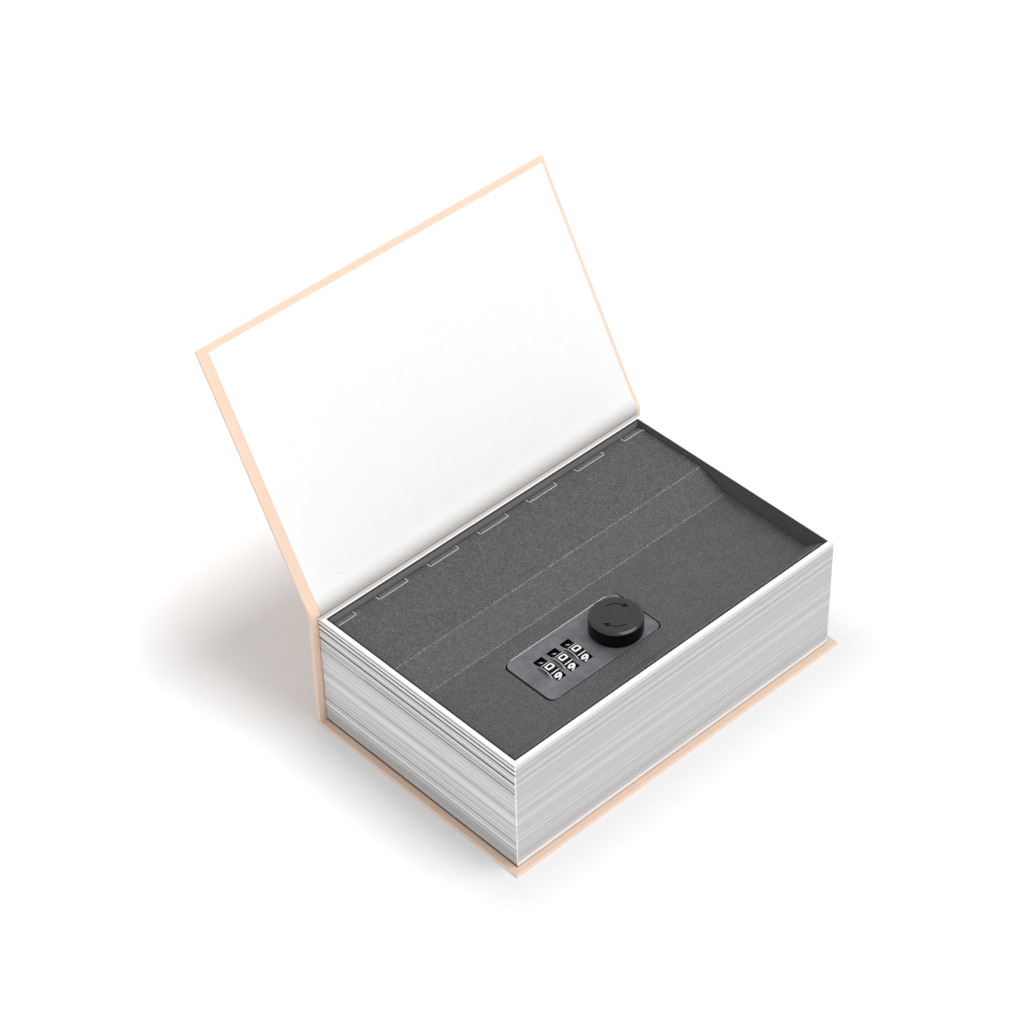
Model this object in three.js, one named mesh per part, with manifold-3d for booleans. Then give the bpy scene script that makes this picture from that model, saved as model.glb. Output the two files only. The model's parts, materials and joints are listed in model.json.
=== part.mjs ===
// Book diversion safe: a steel cash box let into the page block of a hardback book.
// Millimetres, +Z up. X runs along the spine, -Y is the fore-edge, +Y the spine.
// The origin is the centre of the back board's underside.

import * as THREE from 'three';
import { mergeVertices } from 'three/addons/utils/BufferGeometryUtils.js';
import Module from 'manifold-3d';

const wasm = await Module();
wasm.setup();

// Book case
const coverLength = 180;
const overhang = 3;
const blockDepth = 110.2;
const blockHeight = 55.15;
const greyboard = 0.85;
const coverPaper = 0.2;
const endpaper = 0.2;
const glueLine = 0.05;
const turnIn = 12;
const endpaperTailMargin = 4.6;
const endpaperHeadMargin = 2;
const endpaperForeMargin = 2.8;
const spineBoard = 1.6;
const spineGap = 0.4;
const spineTopGap = 0.65;
const coverHingeInset = 1.3;
const coverHingeRise = 0.6;
const frontJoint = 8;
const backJoint = 4;
const paperJointGap = 0.3;
const closedCoverGap = 0.3;
const coverOpenAngle = THREE.MathUtils.degToRad(119.5);

// Page block and steel box
const blockWall = 1.75;
const bindingWall = 2.55;
const boxClearance = 0.15;
const boxSheet = 0.8;

// Lid, a stepped steel sheet, its levels measured down from the page block's rim
const lidSheet = 1;
const plateauDrop = 2.6;
const lockLevelDrop = 8.1;
const frontLipDrop = 1.4;
const plateauDepth = 34.5;
const stepRun = 14.5;
const frontRiseRun = 7.6;
const frontLip = 0.7;
const lidFrontGap = 0.5;
const lidEndGap = 0.4;

// Lid hinge
const knuckleRadius = 1.2;
const knuckleBore = 0.72;
const hingePinRadius = 0.6;
const knuckleWallGap = 0.5;
const endKnuckleReach = 2.8;
const knuckleSideGap = 0.3;
const notchGap = 0.25;
const boxKnuckleCount = 7;
const leafThickness = 0.5;
const leafHeight = 12;
const hingeEndGap = 0.5;

// Lid rests on the end walls
const restLength = 12;
const restWidth = 5;
const restLegHeight = 8;
const restSheet = 0.8;
const restGap = 0.3;

// Lock faceplate and its place on the lid
const lockOffsetX = -19.3;
const lockFromFrontWall = 30.4;
const plateWidth = 26.7;
const plateCorner = 3;
const plateThickness = 1.9;
const plateProud = 0.3;
const cutoutEndGap = 1;
const cutoutSideGap = 0.4;

// Dial wheels, with the code sleeves and the fence bar between them
const wheelCount = 3;
const digitCount = 10;
const wheelRadius = 8.5;
const wheelWidth = 4.4;
const wheelProud = 1.3;
const wheelGrooveDepth = 0.25;
const wheelGrooveHalfWidth = 0.25;
const wheelsFromPlateEnd = 11.35;
const wheelsToKnob = 19.3;
const windowLength = 14;
const windowSideGap = 0.25;
const ribThickness = 0.5;
const ribHeight = 1.25;
const ribHalfChord = 4.2;
const axleRadius = 1.5;
const axleGap = 0.1;
const sleeveBore = 1.65;
const sleeveRadius = 2.6;
const wheelBore = 2.75;
const flangeRadius = 5.2;
const flangeThickness = 0.5;
const flangeNotchRoot = 3.6;
const flangeNotchHalfWidth = 1.2;
const fingerThickness = 0.6;
const fingerTip = 3.9;
const fenceGap = 0.25;
const fenceThickness = 1.6;
const fenceBarWidth = 1.5;
const fenceBarGap = 0.6;

// Lock housing
const housingInset = 0.6;
const housingCorner = 2.5;
const wheelFloorGap = 0.4;
const chamberEndGap = 0.5;
const chamberWall = 3;
const axleSeat = 1.4;
const axleEndWall = 1.35;
const springSpace = 1.3;
const driveCeiling = 3.55;
const driveGap = 0.3;
const earReach = 9.15;
const earHalfWidth = 5;
const earThickness = 3;
const backCoverThickness = 1.2;

// Knob, spindle and latch cam
const knobFromPlateEnd = 14.05;
const knobY = -2.2;
const knobRadius = 10.9;
const knobHeight = 7.3;
const knobGap = 0.2;
const knobBevelWidth = 1.1;
const knobBevelDrop = 0.7;
const knobBore = 2.95;
const knobRoof = 2.1;
const knobSpindleGap = 0.2;
const spindleRadius = 2.8;
const spindleHole = 3;
const eccentricRadius = 4.2;
const eccentricSideGap = 0.3;
const yokeSideGap = 0.15;
const yokeEndGap = 0.3;
const yokeFrame = 1.8;
const camShoulder = 0.3;
const camSquare = 3.8;
const camSquareGap = 0.1;
const camThickness = 1.6;
const camReach = 26;
const camHalfWidth = 4.5;
const camHubRadius = 5;
const washerRadius = 4;
const washerThickness = 0.6;
const threadRadius = 1.9;
const threadGap = 0.15;
const threadEnd = 1;
const camNutHeight = 2.4;
const camNutCircumradius = 3.7;

// Strike bracket under the lid, on the front wall
const strikeLength = 33;
const strikeReach = 7.5;
const strikeHeight = 10.5;
const strikeSheet = 0.8;
const strikeGap = 0.4;

// Lock fasteners
const studRadius = 1.5;
const studLength = 7.8;
const studInset = 4.5;
const studNutHeight = 2.4;
const studNutCircumradius = 3.15;
const screwInset = 2.5;
const screwRadius = 0.8;
const screwHole = 0.95;
const screwHeadRadius = 1.6;
const screwHeadHeight = 1.3;
const screwDepth = 8;

// Code change slide at the far end of the housing from the knob
const slideBlockWidth = 3.4;
const slideBlockLength = 5;
const slideBlockHeight = 3;
const slideTravel = 3.5;
const slideGap = 0.4;
const slideNeck = 2;
const slideNeckGap = 0.25;
const slideTabLength = 3.6;
const slideTabHeight = 1.4;

// Click spring that the wheels ride past
const springSheet = 0.3;
const springStandOff = 0.1;
const springBumpHalf = 1.4;
const springTopRise = 3.2;
const springFingerInset = 0.6;
const springFoot = 2;
const springFloorGap = 0.6;
const springRib = 1.2;

// Facets of round pieces
const roundSides = 24;
const smallSides = 12;
const hexSides = 6;
const knobSides = 64;
const cornerSegments = 5;
const wheelArcSteps = 4;
const cutOverrun = 1;

// Levels and faces that follow from the sizes above
const coverThickness = 2 * coverPaper + 3 * glueLine + greyboard + endpaper;
const blockBottom = coverThickness + glueLine;
const rimZ = blockBottom + blockHeight;
const halfCover = coverLength / 2;
const halfBlockX = halfCover - overhang;
const halfBlockY = (blockDepth - bindingWall + blockWall) / 2;
const foreEdgeY = -halfBlockY - overhang;
const bindingY = halfBlockY + bindingWall - blockWall;
const spineInnerY = bindingY + spineGap;
const spineOuterY = spineInnerY + 2 * coverPaper + 2 * glueLine + spineBoard;
const coverHingeY = spineOuterY - coverHingeInset;
const coverHingeZ = rimZ + closedCoverGap + coverHingeRise;
const spineTopZ = coverHingeZ - spineTopGap;
const turnInZ = endpaper + glueLine;
const boardZ = [turnInZ + coverPaper + glueLine, turnInZ + coverPaper + glueLine + greyboard];

const halfBoxX = halfBlockX - blockWall - boxClearance;
const halfBoxY = halfBlockY - blockWall - boxClearance;
const wallX = halfBoxX - boxSheet;
const wallY = halfBoxY - boxSheet;

const plateauZ = rimZ - plateauDrop;
const lockLevelZ = rimZ - lockLevelDrop;
const frontLipZ = rimZ - frontLipDrop;
const pinY = wallY - knuckleWallGap - knuckleRadius;
const pinZ = plateauZ - knuckleRadius;
const stepTopY = pinY - plateauDepth;
const stepFootY = stepTopY - stepRun;
const lidFrontY = -wallY + lidFrontGap;
const frontLipY = lidFrontY + frontLip;
const frontFoldY = frontLipY + frontRiseRun;
const halfLidX = wallX - lidEndGap;
const hingeEndX = wallX - hingeEndGap;
const knucklePitch = 2 * (hingeEndX - endKnuckleReach) / (boxKnuckleCount - 1);
const knuckleLength = knucklePitch / 2 - knuckleSideGap;

// Lock values in the lock's own frame: origin at the faceplate's centre, on its top face
const lockY = -wallY + lockFromFrontWall;
const lockZ = lockLevelZ + plateProud;
const lidUnderside = -plateProud - lidSheet;
const housingTop = -plateThickness - glueLine;
const wheelAxisZ = wheelProud - wheelRadius;
const housingBottom = wheelAxisZ - wheelRadius - wheelFloorGap;
const coverPlateTop = housingBottom - glueLine;
const coverPlateBottom = coverPlateTop - backCoverThickness;
const wheelPitch = wheelWidth + 4 * fenceGap + 2 * fingerThickness + flangeThickness;
const wheelSpan = wheelPitch * (wheelCount - 1);
const plateLength = wheelsFromPlateEnd + wheelSpan + wheelsToKnob + knobFromPlateEnd;
const firstWheelX = wheelsFromPlateEnd - plateLength / 2;
const lastWheelX = firstWheelX + wheelSpan;
const knobX = plateLength / 2 - knobFromPlateEnd;
const halfHousingX = plateLength / 2 - housingInset;
const halfHousingY = plateWidth / 2 - housingInset;
const windowWidth = wheelWidth + 2 * windowSideGap;
const flangeStart = wheelWidth / 2 + 2 * fenceGap + fingerThickness;
const fingerStart = flangeStart + flangeThickness + fenceGap;
const fenceTravel = fingerThickness + flangeThickness + 2 * fenceGap;
const fenceInnerY = wheelRadius + fenceBarGap;
const fenceOuterY = fenceInnerY + fenceBarWidth;
const chamberStartX = firstWheelX - wheelWidth / 2 - chamberEndGap;
const chamberEndX = lastWheelX + fingerStart + fingerThickness + fenceGap;
const chamberTopY = fenceOuterY + fenceGap;
const chamberFootY = -wheelRadius - springSpace;
const driveStartX = chamberEndX + chamberWall;
const eccentricOffset = fenceTravel / 2;
const eccentricThrow = eccentricOffset * Math.SQRT2;
const yokeX = knobX + eccentricOffset;
const yokeHalfX = eccentricRadius + yokeSideGap;
const yokeOuterHalfX = yokeHalfX + yokeFrame;
const yokeLowY = knobY + eccentricOffset - eccentricRadius - yokeEndGap;
const yokeHighY = knobY + eccentricThrow + eccentricRadius + yokeEndGap;
const driveEndX = yokeX + yokeOuterHalfX + driveGap;
const driveFootY = yokeLowY - yokeFrame - driveGap;
const driveTop = housingTop - driveCeiling;
const camTop = coverPlateBottom - camShoulder - glueLine;
const washerTop = camTop - camThickness - glueLine;
const camNutTop = washerTop - washerThickness - glueLine;
const fenceBottomZ = wheelAxisZ - fenceThickness / 2;
const fenceTopZ = wheelAxisZ + fenceThickness / 2;
const springFaceY = chamberFootY + springStandOff + springSheet;
const earTop = lidUnderside - glueLine;
const earEndX = halfHousingX + earReach;
const studX = earEndX - studInset;
const screwX = halfHousingX - screwInset;
const screwY = halfHousingY - screwInset;
const slideX = (chamberStartX - halfHousingX) / 2;
const slideY = -slideTravel / 2;

// Materials
const material = {
  coverPaper: new THREE.MeshStandardMaterial({ color: 0xfddcc3, roughness: 0.55, metalness: 0 }),
  endpaper: new THREE.MeshStandardMaterial({ color: 0xfafafa, roughness: 0.8, metalness: 0 }),
  greyboard: new THREE.MeshStandardMaterial({ color: 0xa39a8c, roughness: 0.95, metalness: 0 }),
  pages: new THREE.MeshStandardMaterial({ color: 0xe9e9e8, roughness: 0.7, metalness: 0 }),
  powderCoat: new THREE.MeshStandardMaterial({ color: 0x5f5f5f, roughness: 0.6, metalness: 0.2 }),
  gunmetal: new THREE.MeshStandardMaterial({ color: 0x6e6e73, roughness: 0.4, metalness: 0.8 }),
  blackPlastic: new THREE.MeshStandardMaterial({ color: 0x101010, roughness: 0.3, metalness: 0 }),
  housingPlastic: new THREE.MeshStandardMaterial({ color: 0x242426, roughness: 0.6, metalness: 0 }),
  zincSteel: new THREE.MeshStandardMaterial({ color: 0xb9bcc0, roughness: 0.35, metalness: 1 }),
  brass: new THREE.MeshStandardMaterial({ color: 0xc9a04a, roughness: 0.35, metalness: 1 }),
};

// Solids and booleans
function toManifold(geometry) {
  const bare = geometry.clone();
  bare.deleteAttribute('normal');
  bare.deleteAttribute('uv');
  const merged = mergeVertices(bare);
  return new wasm.Manifold(new wasm.Mesh({
    numProp: 3,
    vertProperties: merged.getAttribute('position').array,
    triVerts: new Uint32Array(merged.getIndex().array),
  }));
}

function fromManifold(solid) {
  const mesh = solid.getMesh();
  const geometry = new THREE.BufferGeometry();
  geometry.setAttribute('position', new THREE.BufferAttribute(mesh.vertProperties, 3));
  geometry.setIndex(new THREE.BufferAttribute(mesh.triVerts, 1));
  return geometry;
}

function cut(body, ...tools) {
  return fromManifold(tools.reduce((solid, tool) => solid.subtract(toManifold(tool)), toManifold(body)));
}

function join(...bodies) {
  return fromManifold(bodies.map(toManifold).reduce((solid, other) => solid.add(other)));
}

function block([x0, x1], [y0, y1], [z0, z1]) {
  const geometry = new THREE.BoxGeometry(x1 - x0, y1 - y0, z1 - z0);
  return geometry.translate((x0 + x1) / 2, (y0 + y1) / 2, (z0 + z1) / 2);
}

function rodZ(radius, x, y, [z0, z1], sides = roundSides) {
  const geometry = new THREE.CylinderGeometry(radius, radius, z1 - z0, sides);
  return geometry.rotateX(Math.PI / 2).translate(x, y, (z0 + z1) / 2);
}

function rodX(radius, [x0, x1], y, z, sides = roundSides) {
  const geometry = new THREE.CylinderGeometry(radius, radius, x1 - x0, sides);
  return geometry.rotateZ(-Math.PI / 2).translate((x0 + x1) / 2, y, z);
}

// An outline in Y and Z, extruded along X
function prismX(shape, [x0, x1]) {
  const geometry = new THREE.ExtrudeGeometry(shape, { depth: x1 - x0, bevelEnabled: false });
  const axes = new THREE.Matrix4().makeBasis(
    new THREE.Vector3(0, 1, 0),
    new THREE.Vector3(0, 0, 1),
    new THREE.Vector3(1, 0, 0),
  );
  return geometry.applyMatrix4(axes).translate(x0, 0, 0);
}

// An outline in X and Y, extruded along Z
function prismZ(shape, [z0, z1]) {
  const options = { depth: z1 - z0, bevelEnabled: false, curveSegments: cornerSegments };
  return new THREE.ExtrudeGeometry(shape, options).translate(0, 0, z0);
}

function outline(points) {
  return new THREE.Shape(points.map(([a, b]) => new THREE.Vector2(a, b)));
}

function roundedRectangle(halfX, halfY, radius) {
  const shape = new THREE.Shape();
  shape.absarc(halfX - radius, halfY - radius, radius, 0, Math.PI / 2);
  shape.absarc(radius - halfX, halfY - radius, radius, Math.PI / 2, Math.PI);
  shape.absarc(radius - halfX, radius - halfY, radius, Math.PI, 1.5 * Math.PI);
  shape.absarc(halfX - radius, radius - halfY, radius, 1.5 * Math.PI, 2 * Math.PI);
  return shape;
}

// A sheet that hangs under a line of points in Y and Z, with mitred bends
function sheetOutline(top, thickness) {
  const normals = top.slice(1).map(([y, z], i) => {
    const along = new THREE.Vector2(y - top[i][0], z - top[i][1]).normalize();
    return new THREE.Vector2(-along.y, along.x);
  });
  const lower = top.map(([y, z], i) => {
    const before = normals[Math.max(i - 1, 0)];
    const after = normals[Math.min(i, normals.length - 1)];
    const reach = thickness / (1 + before.dot(after));
    return [y + (before.x + after.x) * reach, z + (before.y + after.y) * reach];
  });
  return outline([...top, ...lower.reverse()]);
}

function repeat(count, make) {
  return Array.from({ length: count }, (_, i) => make(i));
}

function both(make) {
  return [make(1), make(-1)];
}

function piece(parent, name, geometry, surface) {
  const mesh = new THREE.Mesh(geometry, surface);
  mesh.name = name;
  parent.add(mesh);
  return mesh;
}

// A cover, its outer face up, its inner face at z = 0, its joint at y = 0 and its fore-edge at -depth
function coverBoard(depth, joint) {
  const edge = coverPaper + glueLine;
  return block([edge - halfCover, halfCover - edge], [edge - depth, -joint], boardZ);
}

// The bare paper from the board's edge to the joint, its underside going from startZ to endZ
function jointStrip(xRange, joint, startZ, endZ, thickness) {
  const lapY = -joint - turnIn;
  const strip = outline([
    [lapY, startZ],
    [-joint, startZ],
    [-paperJointGap, endZ],
    [-paperJointGap, endZ + thickness],
    [-joint, startZ + thickness],
    [lapY, startZ + thickness],
  ]);
  return prismX(strip, xRange);
}

function coveringPaper(depth, joint, jointEndZ) {
  const outerZ = coverThickness - coverPaper;
  const wrap = block([-halfCover, halfCover], [-depth, -joint], [turnInZ, coverThickness]);
  const pocket = block(
    [coverPaper - halfCover, halfCover - coverPaper],
    [coverPaper - depth, cutOverrun - joint],
    [turnInZ + coverPaper, outerZ],
  );
  const opening = block(
    [turnIn - halfCover, halfCover - turnIn],
    [turnIn - depth, cutOverrun - joint],
    [turnInZ - cutOverrun, outerZ],
  );
  return join(
    cut(wrap, pocket, opening),
    jointStrip([-halfCover, halfCover], joint, outerZ, jointEndZ, coverPaper),
  );
}

function addBackCover(book) {
  const depth = spineInnerY - foreEdgeY;
  const place = (geometry) => geometry.rotateY(Math.PI).translate(0, spineInnerY, coverThickness);
  piece(book, 'back_cover_board', place(coverBoard(depth, backJoint)), material.greyboard);
  const paper = coveringPaper(depth, backJoint, coverThickness - coverPaper);
  piece(book, 'back_cover_paper', place(paper), material.coverPaper);
  const sheetZ = [coverThickness - endpaper, coverThickness];
  const sheet = block([-halfBoxX, halfBoxX], [-halfBoxY, halfBoxY], sheetZ);
  piece(book, 'back_endpaper', sheet, material.endpaper);
}

function addSpine(book) {
  const skin = coverPaper + glueLine;
  const board = block(
    [skin - halfCover, halfCover - skin],
    [spineInnerY + skin, spineOuterY - skin],
    [skin, spineTopZ],
  );
  piece(book, 'spine_board', board, material.greyboard);
  const wrap = block([-halfCover, halfCover], [spineInnerY, spineOuterY], [0, spineTopZ]);
  const pocket = block(
    [coverPaper - halfCover, halfCover - coverPaper],
    [spineInnerY + coverPaper, spineOuterY - coverPaper],
    [coverPaper, spineTopZ + cutOverrun],
  );
  const opening = block(
    [turnIn - halfCover, halfCover - turnIn],
    [spineInnerY - cutOverrun, spineInnerY + skin],
    [-cutOverrun, spineTopZ + cutOverrun],
  );
  piece(book, 'spine_paper', cut(wrap, pocket, opening), material.coverPaper);
}

function addFrontCover(part) {
  const cover = new THREE.Group();
  cover.name = 'front_cover';
  cover.position.set(0, coverHingeY, coverHingeZ);
  cover.rotation.x = -coverOpenAngle;
  part.add(cover);
  const depth = coverHingeY - foreEdgeY;
  const place = (geometry) => geometry.translate(0, 0, -coverHingeRise);
  piece(cover, 'front_cover_board', place(coverBoard(depth, frontJoint)), material.greyboard);
  const paper = coveringPaper(depth, frontJoint, coverHingeRise + glueLine);
  piece(cover, 'front_cover_paper', place(paper), material.coverPaper);
  const xRange = [endpaperTailMargin - halfCover, halfCover - endpaperHeadMargin];
  const sheet = block(xRange, [endpaperForeMargin - depth, -frontJoint], [0, endpaper]);
  const strip = jointStrip(xRange, frontJoint, 0, coverHingeRise - glueLine - endpaper, endpaper);
  piece(cover, 'front_endpaper', place(join(sheet, strip)), material.endpaper);
}

// Page block and steel box
function addPageBlock(book) {
  const innerX = halfBlockX - blockWall;
  const innerY = halfBlockY - blockWall;
  const shell = cut(
    block([-halfBlockX, halfBlockX], [-halfBlockY, bindingY], [blockBottom, rimZ]),
    block([-innerX, innerX], [-innerY, innerY], [blockBottom - cutOverrun, rimZ + cutOverrun]),
  );
  piece(book, 'page_block', shell, material.pages);
}

function addSteelBox(book) {
  const box = cut(
    block([-halfBoxX, halfBoxX], [-halfBoxY, halfBoxY], [blockBottom, rimZ]),
    block([-wallX, wallX], [-wallY, wallY], [blockBottom + boxSheet, rimZ + cutOverrun]),
  );
  piece(book, 'steel_box', box, material.powderCoat);
}

// Hinge: the box's knuckles sit in notches of the lid's edge
function boxKnuckleRange(index, gap) {
  const centre = (index - (boxKnuckleCount - 1) / 2) * knucklePitch;
  const end = hingeEndX + gap;
  const half = knuckleLength / 2 + gap;
  return [Math.max(centre - half, -end), Math.min(centre + half, end)];
}

function lidKnuckleRange(index) {
  const centre = (index - (boxKnuckleCount - 2) / 2) * knucklePitch;
  return [centre - knuckleLength / 2, centre + knuckleLength / 2];
}

function hingeBore() {
  return rodX(knuckleBore, [-halfCover, halfCover], pinY, pinZ, smallSides);
}

function addHinge(book) {
  const xRange = [-hingeEndX, hingeEndX];
  const wallFace = wallY - glueLine;
  const leaf = block(xRange, [wallFace - leafThickness, wallFace], [pinZ - leafHeight, pinZ]);
  const knuckles = repeat(boxKnuckleCount, (i) => rodX(knuckleRadius, boxKnuckleRange(i, 0), pinY, pinZ));
  const notches = repeat(boxKnuckleCount - 1, (i) => {
    const [x0, x1] = lidKnuckleRange(i);
    const clear = knuckleRadius + knuckleWallGap;
    return block(
      [x0 - knuckleSideGap, x1 + knuckleSideGap],
      [pinY - clear, wallY],
      [pinZ - clear, pinZ + clear],
    );
  });
  piece(book, 'hinge_leaf', cut(join(leaf, ...knuckles), hingeBore(), ...notches), material.powderCoat);
  piece(book, 'hinge_pin', rodX(hingePinRadius, xRange, pinY, pinZ, smallSides), material.zincSteel);
}

function addStrike(book) {
  const x = lockOffsetX + knobX;
  const wallFace = -wallY + glueLine;
  const underside = lockZ + camTop + strikeGap;
  const xRange = [x - strikeLength / 2, x + strikeLength / 2];
  const bracket = join(
    block(xRange, [wallFace, wallFace + strikeReach], [underside, underside + strikeSheet]),
    block(xRange, [wallFace, wallFace + strikeSheet], [underside, underside + strikeHeight]),
  );
  piece(book, 'strike_bracket', bracket, material.zincSteel);
}

function addLidRests(book) {
  const y = (stepTopY + pinY) / 2;
  const yRange = [y - restLength / 2, y + restLength / 2];
  const top = plateauZ - lidSheet - restGap;
  const wallFace = wallX - glueLine;
  const angle = join(
    block([wallFace - restWidth, wallFace], yRange, [top - restSheet, top]),
    block([wallFace - restSheet, wallFace], yRange, [top - restLegHeight, top]),
  );
  const other = angle.clone().rotateZ(Math.PI).translate(0, y + y, 0);
  piece(book, 'lid_rest_head', angle, material.powderCoat);
  piece(book, 'lid_rest_tail', other, material.powderCoat);
}

// Lid
function addLid(lid) {
  const top = [
    [pinY, plateauZ],
    [stepTopY, plateauZ],
    [stepFootY, lockLevelZ],
    [frontFoldY, lockLevelZ],
    [frontLipY, frontLipZ],
    [lidFrontY, frontLipZ],
  ];
  const sheet = prismX(sheetOutline(top, lidSheet), [-halfLidX, halfLidX]);
  const knuckles = repeat(boxKnuckleCount - 1, (i) => rodX(knuckleRadius, lidKnuckleRange(i), pinY, pinZ));
  const notches = repeat(boxKnuckleCount, (i) => block(
    boxKnuckleRange(i, knuckleSideGap + hingeEndGap),
    [pinY - knuckleRadius - notchGap, wallY],
    [pinZ - knuckleRadius - notchGap, rimZ],
  ));
  const corner = plateCorner + cutoutSideGap;
  const cutout = prismZ(
    roundedRectangle(plateLength / 2 + cutoutEndGap, plateWidth / 2 + cutoutSideGap, corner),
    [lockLevelZ - lidSheet - cutOverrun, lockLevelZ + cutOverrun],
  ).translate(lockOffsetX, lockY, 0);
  const panel = cut(join(sheet, ...knuckles), hingeBore(), cutout, ...notches);
  piece(lid, 'lid_panel', panel, material.powderCoat);
}

function addLidFasteners(lock) {
  const stud = rodZ(studRadius, 0, 0, [earTop - studLength, earTop], smallSides);
  const nutTop = earTop - earThickness - glueLine;
  const nutBottom = nutTop - studNutHeight;
  const nut = cut(
    rodZ(studNutCircumradius, 0, 0, [nutBottom, nutTop], hexSides),
    rodZ(studRadius + threadGap, 0, 0, [nutBottom - cutOverrun, nutTop + cutOverrun], smallSides),
  );
  [['head', studX], ['tail', -studX]].forEach(([end, x]) => {
    piece(lock, `lid_stud_${end}`, stud.clone().translate(x, 0, 0), material.zincSteel);
    piece(lock, `lock_nut_${end}`, nut.clone().translate(x, 0, 0), material.zincSteel);
  });
}

// Faceplate with an arched rib along one side of each window
function ribOutline() {
  const radius = (ribHalfChord ** 2 + ribHeight ** 2) / (ribHeight + ribHeight);
  const half = Math.asin(ribHalfChord / radius);
  const shape = new THREE.Shape();
  shape.absarc(0, ribHeight - radius, radius, Math.PI / 2 - half, Math.PI / 2 + half);
  shape.lineTo(-ribHalfChord, -plateThickness / 2);
  shape.lineTo(ribHalfChord, -plateThickness / 2);
  return shape;
}

function addFaceplate(lock) {
  const plate = prismZ(roundedRectangle(plateLength / 2, plateWidth / 2, plateCorner), [-plateThickness, 0]);
  const ribs = repeat(wheelCount, (i) => {
    const windowSide = firstWheelX + i * wheelPitch - windowWidth / 2;
    return prismX(ribOutline(), [windowSide - ribThickness, windowSide + cutOverrun]);
  });
  const cutZ = [-plateThickness - cutOverrun, ribHeight + cutOverrun];
  const windows = repeat(wheelCount, (i) => {
    const x = firstWheelX + i * wheelPitch;
    return block([x - windowWidth / 2, x + windowWidth / 2], [-windowLength / 2, windowLength / 2], cutZ);
  });
  const hole = rodZ(spindleHole, knobX, knobY, cutZ);
  piece(lock, 'lock_faceplate', cut(join(plate, ...ribs), hole, ...windows), material.gunmetal);
}

// Lock housing, open below
function ear(side) {
  const outer = [plateLength / 2 + cutoutEndGap, earEndX].map((x) => side * x).sort((a, b) => a - b);
  const root = [halfHousingX - housingCorner, earEndX].map((x) => side * x).sort((a, b) => a - b);
  const y = [-earHalfWidth, earHalfWidth];
  const bottom = earTop - earThickness;
  return join(block(outer, y, [bottom, earTop]), block(root, y, [bottom, housingTop]));
}

function axleSlot(xRange) {
  const radius = axleRadius + axleGap;
  return join(
    rodX(radius, xRange, 0, wheelAxisZ, smallSides),
    block(xRange, [-radius, radius], [housingBottom - cutOverrun, wheelAxisZ]),
  );
}

function screwPlaces(make) {
  return both((sx) => both((sy) => make(sx * screwX, sy * screwY))).flat();
}

function addHousing(lock) {
  const footprint = roundedRectangle(halfHousingX, halfHousingY, housingCorner);
  const body = prismZ(footprint, [housingBottom, housingTop]);
  const below = housingBottom - cutOverrun;
  const chamber = block(
    [chamberStartX, chamberEndX],
    [chamberFootY, chamberTopY],
    [below, housingTop + cutOverrun],
  );
  const drive = block([driveStartX, driveEndX], [driveFootY, chamberTopY], [below, driveTop]);
  const fenceSlot = block(
    [chamberEndX - cutOverrun, driveStartX + cutOverrun],
    [fenceInnerY - fenceGap, chamberTopY],
    [below, fenceTopZ + driveGap],
  );
  const slidePocket = block(
    [slideX - slideBlockWidth / 2 - slideGap, slideX + slideBlockWidth / 2 + slideGap],
    [slideY - slideBlockLength / 2 - slideGap, slideY + slideTravel + slideBlockLength / 2 + slideGap],
    [below, housingBottom + slideBlockHeight + slideGap],
  );
  const spindle = rodZ(spindleHole, knobX, knobY, [driveTop - cutOverrun, housingTop + cutOverrun]);
  const screwZ = [below, housingBottom + screwDepth];
  const screws = screwPlaces((x, y) => rodZ(screwHole, x, y, screwZ, smallSides));
  const studZ = [earTop - earThickness - cutOverrun, earTop + cutOverrun];
  const studs = both((side) => rodZ(studRadius + threadGap, side * studX, 0, studZ, smallSides));
  const housing = cut(
    join(body, ear(1), ear(-1)),
    chamber,
    drive,
    fenceSlot,
    slidePocket,
    spindle,
    axleSlot([chamberStartX - axleSeat, chamberStartX + cutOverrun]),
    axleSlot([chamberEndX - cutOverrun, driveStartX - axleEndWall]),
    ...studs,
    ...screws,
  );
  piece(lock, 'lock_housing', housing, material.housingPlastic);
}

// Back cover of the lock, with posts that hold the axle, the fence bar and the click spring in place
function addBackPlate(lock) {
  const plate = prismZ(
    roundedRectangle(halfHousingX, halfHousingY, housingCorner),
    [coverPlateBottom, coverPlateTop],
  );
  const post = (x, y, top) => block(x, y, [coverPlateTop - backCoverThickness / 2, top]);
  const axleY = [-axleRadius, axleRadius];
  const axleTop = wheelAxisZ - axleRadius - axleGap;
  const fenceY = [fenceInnerY, fenceOuterY];
  const fenceTop = fenceBottomZ - driveGap;
  const springY = springFaceY + springStandOff;
  const springTop = housingBottom + springFloorGap + springFoot;
  const posts = [
    post([chamberStartX - axleSeat + fenceGap, chamberStartX - fenceGap], axleY, axleTop),
    post([chamberEndX + fenceGap, driveStartX - axleEndWall - fenceGap], axleY, axleTop),
    post([chamberEndX + fenceGap, driveStartX - fenceGap], fenceY, fenceTop),
    post([firstWheelX + fingerStart, firstWheelX + wheelPitch], fenceY, fenceTop),
    post([firstWheelX, lastWheelX], [springY, springY + springRib], springTop),
  ];
  const cutZ = [coverPlateBottom - cutOverrun, coverPlateTop + cutOverrun];
  const neckX = slideNeck / 2 + slideNeckGap;
  const neckSlot = block(
    [slideX - neckX, slideX + neckX],
    [slideY - neckX, slideY + slideTravel + neckX],
    cutZ,
  );
  const screws = screwPlaces((x, y) => rodZ(screwHole, x, y, cutZ, smallSides));
  const spindle = rodZ(spindleHole, knobX, knobY, cutZ);
  const cover = cut(join(plate, ...posts), neckSlot, spindle, ...screws);
  piece(lock, 'lock_back_cover', cover, material.zincSteel);
}

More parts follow.
